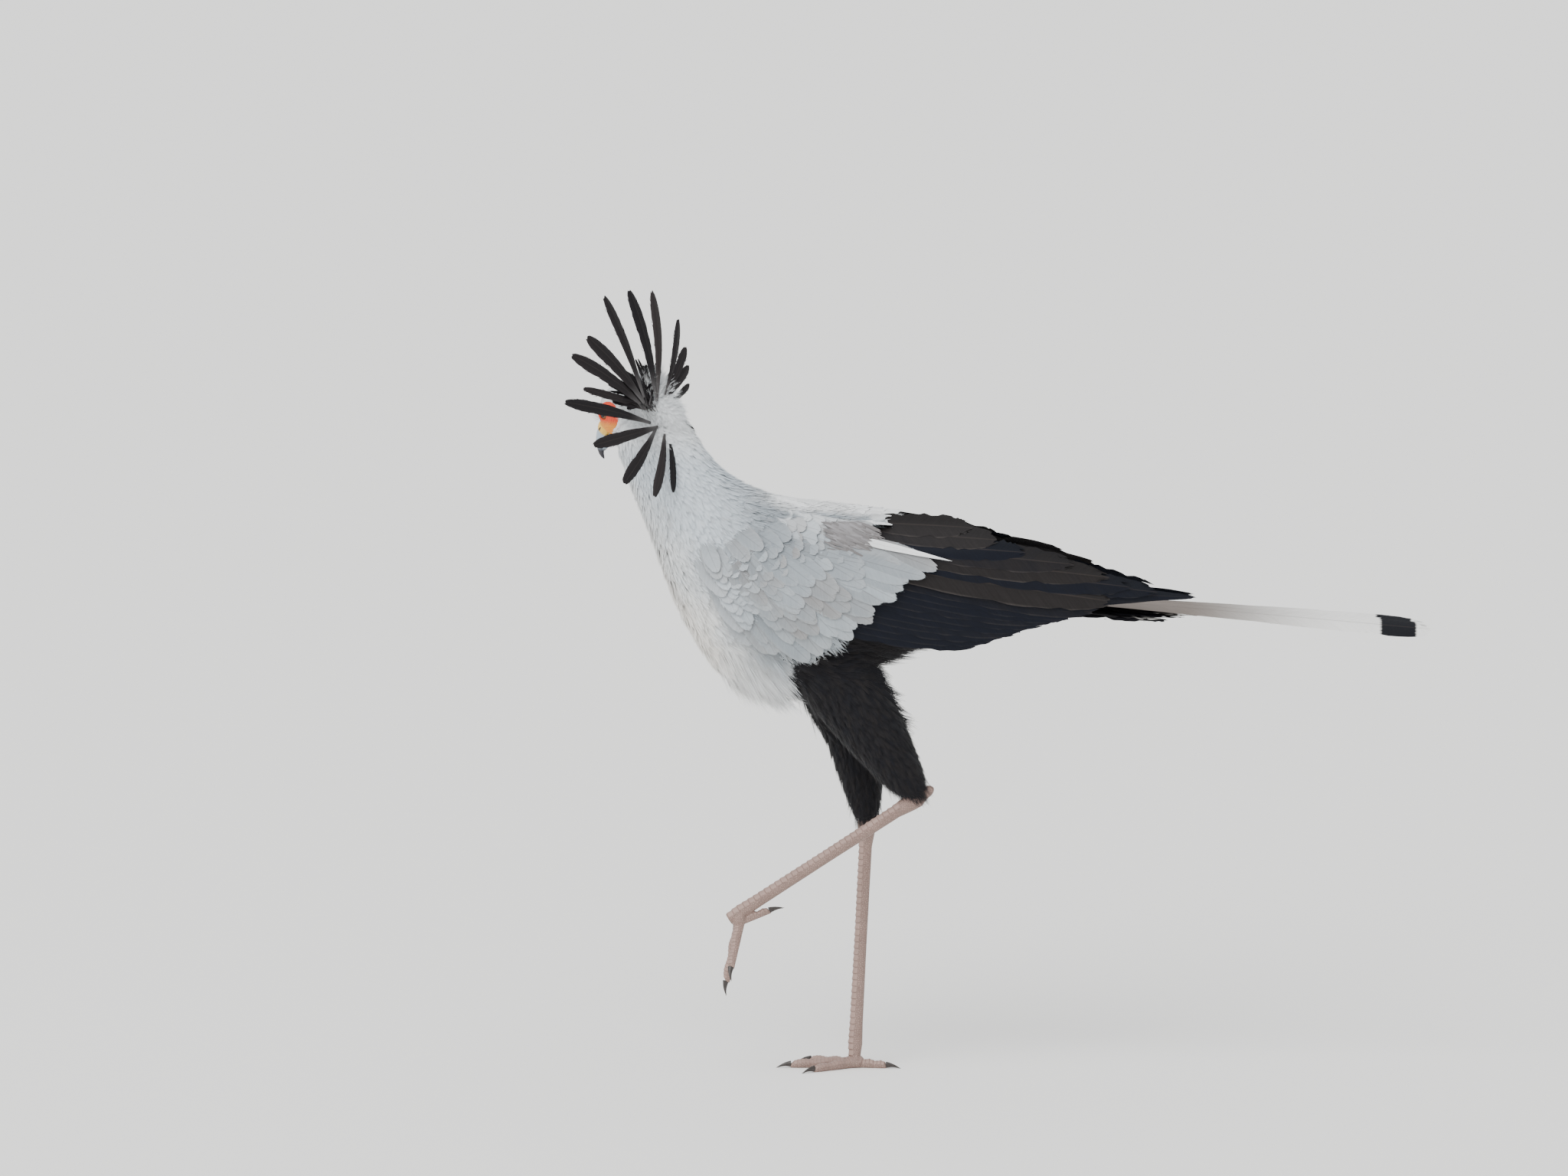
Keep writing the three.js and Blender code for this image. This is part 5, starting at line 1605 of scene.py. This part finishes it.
def bill_finish():
    finish = Finish("bill horn", {"Specular IOR Level": 0.5})
    place = finish.place()
    length = finish.noise(place * (0.2, 1.0, 1.0), 0.5)
    colour = finish.blend(length, paint(140, 156, 172), paint(176, 186, 194))
    tip = (place.axis(0) - place.axis(2) * 0.6 + length * 5).above(62, 74)
    colour = finish.blend(tip, colour, paint(44, 42, 48))
    finish.wear({"Base Color": colour, "Roughness": length * 0.2 + 0.28})
    finish.relief(length, 0.0002)
    return finish.material


def cere_finish():
    finish = Finish("cere", {"Roughness": 0.42, "Subsurface Weight": 0.08})
    place = finish.place()
    colour = finish.blend(finish.noise(place, 0.3), paint(222, 164, 54), paint(240, 196, 92))
    colour = finish.blend(place.axis(0).above(37, 41) * 0.6, colour, paint(168, 172, 160))
    # the nostril is a dark oval of painted shade where its opening lies
    nostril = (place - NOSTRIL_AT) * (0.29, 0.0, 0.7)
    off = finish.node("ShaderNodeVectorMath", {"operation": "LENGTH"}, {0: nostril}, "Value")
    finish.wear({"Base Color": finish.blend(off.above(1.15, 0.8), colour, paint(40, 26, 16))})
    finish.relief(finish.noise(place, 1.6), 0.0003)
    return finish.material


horn = bill_finish()
horn_piece("cere_skin", "cere", "cere_skin", cere_finish(), grow=0.0008)
horn_piece("bill_upper_horn", "bill_upper", "bill_horn", horn)
horn_piece("bill_lower_horn", "bill_lower", "bill_horn", horn)

# %% [markdown]
# The long shanks have a row of wide plates down the front and small scales behind, and the
# toes have plates on top and pads below. The plates are modelled: each ring of a shank grows
# a little towards its lower edge and drops back. Shank, foot and toes are then melted into one
# skin for each leg, and the small scales are left to the finish.

# %% Legs
LEGS = {
    # the left one is lifted, so its foot is pitched down and its hind toe is flexed, in degrees
    "left": {"side": -1, "hock": (76, -56, 378), "ankle": (-173, -60, 216), "pitch": 76, "flex": 54},
    "right": {"side": 1, "hock": (9, 28, 332), "ankle": (-7, 2, 20), "pitch": 0, "flex": 0},
}
SHANK_TOP = ([-26, -9, 0, 14, 34], [6.2, 8.8, 12.5, 11.5, 8.6])
SHANK_END = ([40, 12, -6], [8.6, 9.4, 7.5])
SHANK_MIDDLE = 8.2
SHANK_FLAT = 0.84
SHANK_SIDES = 56
SHANK_STEP = 0.8
# lengths along a shank start at the middle of the hock, and the hock's knob lies before it
KNOB_END = -26
KNOB_ROUND_FROM = -17
SCUTE_PITCH = 8.6
SCUTE_RAISE = 1.2
TOE_SCUTE_PITCH = 5.2
TOE_SCUTE_RAISE = 0.8
FOOT_PAD = 13
FOOT_HIGH = 9.4
FOOT_LIFT = -1.4
TOES = {
    # turn in degrees, length, thickness
    "inner": (34, 54, 7.2), "middle": (2, 74, 7.8), "outer": (-32, 58, 7), "hind": (170, 30, 6.8),
}
TOE_START = 4
TOE_REACH = 13.5
TOE_FLAT = 1.1
TOE_SIDES = 28
TOE_BARE = 0.12
CLAW_LONG = 20
CLAW_THICK = 4.4
CLAW_FLAT = 0.4
CLAW_SIDES = 18
LEG_VOXEL = 0.0008
CLAW_VOXEL = 0.00045


def add_tube(bm, rings):
    """Adds a closed tube through rings of points in millimetres."""
    rows = [[bm.verts.new(p) for p in to_metres(ring)] for ring in rings]
    for low, high in zip(rows, rows[1:]):
        for i in range(len(low)):
            j = (i + 1) % len(low)
            bm.faces.new((low[i], low[j], high[j], high[i]))
    bm.faces.new(rows[0][::-1])
    bm.faces.new(rows[-1])


def sawtooth(distance, pitch):
    """Rises from 0 to 1 along each plate, and drops at its end."""
    share = np.mod(distance, pitch) / pitch
    return np.where(share < 0.88, (share / 0.88) ** 1.5, (1 - share) / 0.12)


def shank_rings(hock, ankle):
    """Rings from the knob of the hock to the ankle, with the place on the plates of each."""
    hock, ankle = np.array(hock, float), np.array(ankle, float)
    length = np.linalg.norm(ankle - hock)
    way = unit(ankle - hock)
    across = unit(np.cross(way, (1, 0, 0.3)))
    front = np.cross(across, way)
    front = front if front[0] < 0 else -front
    stops = SHANK_TOP[0] + [length / 2] + [length - s for s in SHANK_END[0]]
    radii = SHANK_TOP[1] + [SHANK_MIDDLE] + SHANK_END[1]
    turn = np.linspace(0, 2 * np.pi, SHANK_SIDES, endpoint=False)
    on_front = smooth_step(np.sin(turn), 0.15, 0.4)
    for at_length in np.arange(KNOB_END, length + 5, SHANK_STEP):
        radius = np.interp(at_length, stops, radii)
        if at_length < KNOB_ROUND_FROM:
            radius *= math.sqrt(1 - ((KNOB_ROUND_FROM - at_length) / 9.2) ** 2)
        plated = smooth_step(np.array(at_length), 22, 30) * on_front
        phase = at_length / SCUTE_PITCH
        raised = radius + SCUTE_RAISE * plated * sawtooth(at_length, SCUTE_PITCH)
        ring = hock + way * at_length + np.outer(raised * SHANK_FLAT * np.cos(turn), across)
        yield ring + np.outer(raised * np.sin(turn), front), phase, plated


def foot_place(leg):
    """Turn and place of a foot: flat under its ankle, or hanging from the lifted leg."""
    turn = np.array(Matrix.Rotation(-math.radians(leg["pitch"]), 3, "Y"))
    turn = turn @ np.array(Matrix.Rotation(math.pi, 3, "Z"))
    ankle = np.array(leg["ankle"], float)
    if leg["pitch"] == 0:
        return turn, ankle * (1, 1, 0)
    return turn, ankle - turn @ (0, 0, 2 * FOOT_HIGH + FOOT_LIFT + 1)


def toe_place(points, turn, flex):
    bent = np.array(Matrix.Rotation(math.radians(flex), 3, "Y"))
    spun = np.array(Matrix.Rotation(math.radians(turn), 3, "Z"))
    return ((points - (0, 0, FOOT_HIGH)) @ bent.T + (0, 0, FOOT_HIGH)) @ spun.T


def toe_rings(length, thick):
    turn = np.linspace(0, 2 * np.pi, TOE_SIDES, endpoint=False)
    on_top = smooth_step(np.sin(turn), 0.1, 0.5)
    for share in np.linspace(0, 1, 110):
        radius = thick * (1 - 0.3 * share) * (1 + 0.07 * math.cos(share * 5 * math.pi))
        radius = radius * (1 if share < 0.9 else math.sqrt(1 - ((share - 0.9) / 0.11) ** 2))
        along = TOE_START + share * (TOE_REACH - TOE_START + length)
        plates = TOE_SCUTE_RAISE * on_top * sawtooth(along, TOE_SCUTE_PITCH)
        raised = radius + plates * (share > TOE_BARE)
        high = np.maximum(0, radius - TOE_FLAT + raised * np.sin(turn))
        ring = np.stack([np.full(TOE_SIDES, along), raised * np.cos(turn), high], axis=1)
        yield ring, along / TOE_SCUTE_PITCH, on_top * (share > TOE_BARE)


def claw_rings(length, thick):
    turn = np.linspace(0, 2 * np.pi, CLAW_SIDES, endpoint=False)
    height = thick * 0.7 - TOE_FLAT + 1
    for share in np.linspace(0, 0.99, 22):
        radius = CLAW_THICK * (1 - 0.93 * share**0.9)
        fall = min(1, share / 0.88) ** 1.6
        middle = height + (radius - CLAW_FLAT - height) * fall
        high = np.maximum(0, middle + radius * np.sin(turn))
        along = TOE_REACH + length - 1 + share * (CLAW_LONG + 1.3)
        yield np.stack([np.full(CLAW_SIDES, along), 0.8 * radius * np.cos(turn), high], axis=1)


def leg_finish():
    """Plates where the mesh says so, small round scales elsewhere."""
    finish = Finish("leg scales", {"Specular IOR Level": 0.4})
    place, plated = finish.place(), finish.number("across").above(0.3, 0.6)
    voronoi = {"Vector": place, "Scale": 0.38, "Randomness": 0.7}
    gaps = finish.node("ShaderNodeTexVoronoi", {"feature": "DISTANCE_TO_EDGE"}, voronoi)
    into_plate = finish.node("ShaderNodeMath", {"operation": "FRACT"}, {0: finish.number("along")})
    plate_edge = into_plate.above(0.8, 0.93) * into_plate.above(1.0, 0.95)
    scale_edge = gaps.above(0.14, 0.02)
    edge = plated * plate_edge + (1 - plated) * scale_edge
    cloud, patches = finish.noise(place, 0.03), finish.noise(place, 0.2)
    colour = finish.blend(cloud, paint(140, 115, 106), paint(168, 142, 132))
    colour = finish.blend(patches.above(0.5, 0.75) * 0.5, colour, paint(138, 120, 111))
    colour = finish.blend(edge * 0.55, colour, paint(92, 70, 63))
    finish.wear({"Base Color": colour, "Roughness": cloud * 0.2 + 0.4})
    high = plated * (into_plate * 0.5 + 0.5) + (1 - plated) * gaps.above(0.0, 0.3)
    finish.relief(high * (1 - edge * 0.6) + patches * 0.1, 0.0007, 0.8)
    return finish.material


def claw_finish():
    finish = Finish("claw", {"Roughness": 0.32})
    cloud = finish.noise(finish.place() * (0.3, 1.0, 1.0), 0.7)
    finish.wear({"Base Color": finish.blend(cloud, paint(30, 27, 26), paint(66, 58, 54))})
    finish.relief(cloud, 0.0002)
    return finish.material


def foot_pad(turn, foot_at):
    def place_of(ball):
        pad = ball * (FOOT_PAD, FOOT_PAD - 1, FOOT_HIGH) + (0, 0, FOOT_HIGH + FOOT_LIFT)
        return np.maximum(pad, (-99, -99, 0)) @ turn.T + foot_at

    return place_of


def nearest_known(points, known):
    """Means over the four known points nearest to each point, of the two numbers they carry."""
    tree = KDTree(len(known))
    for index, (point, _, _) in enumerate(known):
        tree.insert(point, index)
    tree.balance()
    near = [[known[index] for _, index, _ in tree.find_n(point, 4)] for point in points]
    return [np.array([[n[k] for n in four] for four in near]).mean(axis=1) for k in (1, 2)]


def build_leg(name, leg, scales, keratin):
    turn, foot_at = foot_place(leg)
    bm, claws, known = bmesh.new(), bmesh.new(), []

    def add_scaled(rings, placed):
        rings = [(placed(ring), phase, plated) for ring, phase, plated in rings]
        add_tube(bm, [ring for ring, _, _ in rings])
        known.extend((p, phase, on) for ring, phase, plated in rings for p, on in zip(ring, plated))

    add_scaled(shank_rings(leg["hock"], leg["ankle"]), lambda ring: ring)
    round_form(bm, foot_pad(turn, foot_at))
    for toe, (toe_turn, length, thick) in TOES.items():
        flex = leg["flex"] if toe == "hind" else 0

        def placed(ring):
            return toe_place(ring, toe_turn * leg["side"], flex) @ turn.T + foot_at

        add_scaled(toe_rings(length, thick), placed)
        add_tube(claws, [placed(ring) for ring in claw_rings(length, thick)])
    points, _, faces = arrays_of(melted_form(bm, LEG_VOXEL, 2))
    phases, on_plate = nearest_known(points, known)
    nodes = [f"tarsus_{name}", f"foot_{name}"] + [f"toe_{name}_{toe}" for toe in TOES]
    skin = Piece()
    skin.add(points, faces, points, along=phases, across=on_plate)
    skin.build(f"leg_{name}_skin", scales, "leg_scales", nodes)
    points, _, faces = arrays_of(melted_form(claws, CLAW_VOXEL, 3))
    nails = Piece()
    nails.add(points, faces, points)
    nails.build(f"claws_{name}", keratin, "claw", [f"claw_{name}_{toe}" for toe in TOES])


leg_skin, keratin = leg_finish(), claw_finish()
for leg_name, leg in LEGS.items():
    build_leg(leg_name, leg, leg_skin, keratin)

# %% [markdown]
# The floor, lights and camera come last. The camera stands far off with a long lens, a little above
# the bird, as a watcher in a field would.

# %% Floor, light and camera
FLOOR = paint(251, 250, 247)
FLOOR_HALF = 60
SENSOR_WIDTH = 36
# metres across the picture where the bird stands, and metres from there to the camera
VIEW_WIDTH = 2.109
VIEW_CENTRE = to_metres([-103, 0, 655])
VIEW_DISTANCE = 15.0
SKY = (0.97, 0.985, 1, 1)
SKY_STRENGTH = 1.05


def make_floor():
    mesh = bpy.data.meshes.new("floor")
    ways = [(-1, -1), (1, -1), (1, 1), (-1, 1)]
    corners = [(x * FLOOR_HALF, y * FLOOR_HALF, 0) for x, y in ways]
    mesh.from_pydata(corners, [], [(0, 1, 2, 3)])
    floor = bpy.data.objects.new("floor", mesh)
    bpy.context.scene.collection.objects.link(floor)
    finish = Finish("floor", {"Base Color": FLOOR, "Roughness": 0.9})
    mesh.materials.append(finish.material)


def area_light(name, at, size, power):
    lamp = bpy.data.lights.new(name, "AREA")
    lamp.size = size
    lamp.energy = power
    holder = bpy.data.objects.new(name, lamp)
    holder.location = at
    aim = Vector(VIEW_CENTRE) - Vector(at)
    holder.rotation_euler = aim.to_track_quat("-Z", "Y").to_euler()
    bpy.context.scene.collection.objects.link(holder)


def sky_light(name, towards, spread, power):
    """A sun with a very wide disc, which lights floor and bird evenly, as a bright cloud does."""
    lamp = bpy.data.lights.new(name, "SUN")
    lamp.angle = math.radians(spread)
    lamp.energy = power
    holder = bpy.data.objects.new(name, lamp)
    holder.rotation_euler = Vector(towards).to_track_quat("Z", "Y").to_euler()
    bpy.context.scene.collection.objects.link(holder)


def make_camera():
    lens = bpy.data.cameras.new("camera")
    lens.sensor_width = SENSOR_WIDTH
    lens.lens = SENSOR_WIDTH * VIEW_DISTANCE / VIEW_WIDTH
    camera = bpy.data.objects.new("camera", lens)
    back = Vector((0, -math.cos(VIEW_ELEVATION), math.sin(VIEW_ELEVATION)))
    camera.location = Vector(VIEW_CENTRE) + back * VIEW_DISTANCE
    camera.rotation_euler = (-back).to_track_quat("-Z", "Y").to_euler()
    lens.clip_end = 200
    bpy.context.scene.collection.objects.link(camera)
    bpy.context.scene.camera = camera


def make_world():
    world = bpy.data.worlds.new("soft light")
    world.use_nodes = True
    background = world.node_tree.nodes["Background"]
    background.inputs["Color"].default_value = SKY
    background.inputs["Strength"].default_value = SKY_STRENGTH
    bpy.context.scene.world = world


make_floor()
sky_light("key", (-0.45, -0.75, 1.0), 50, 2.5)
area_light("catch light", (-2.4, -3.2, 2.2), 1.2, 14)
make_world()
make_camera()
print("camera lens:", round(bpy.context.scene.camera.data.lens, 1), "mm")
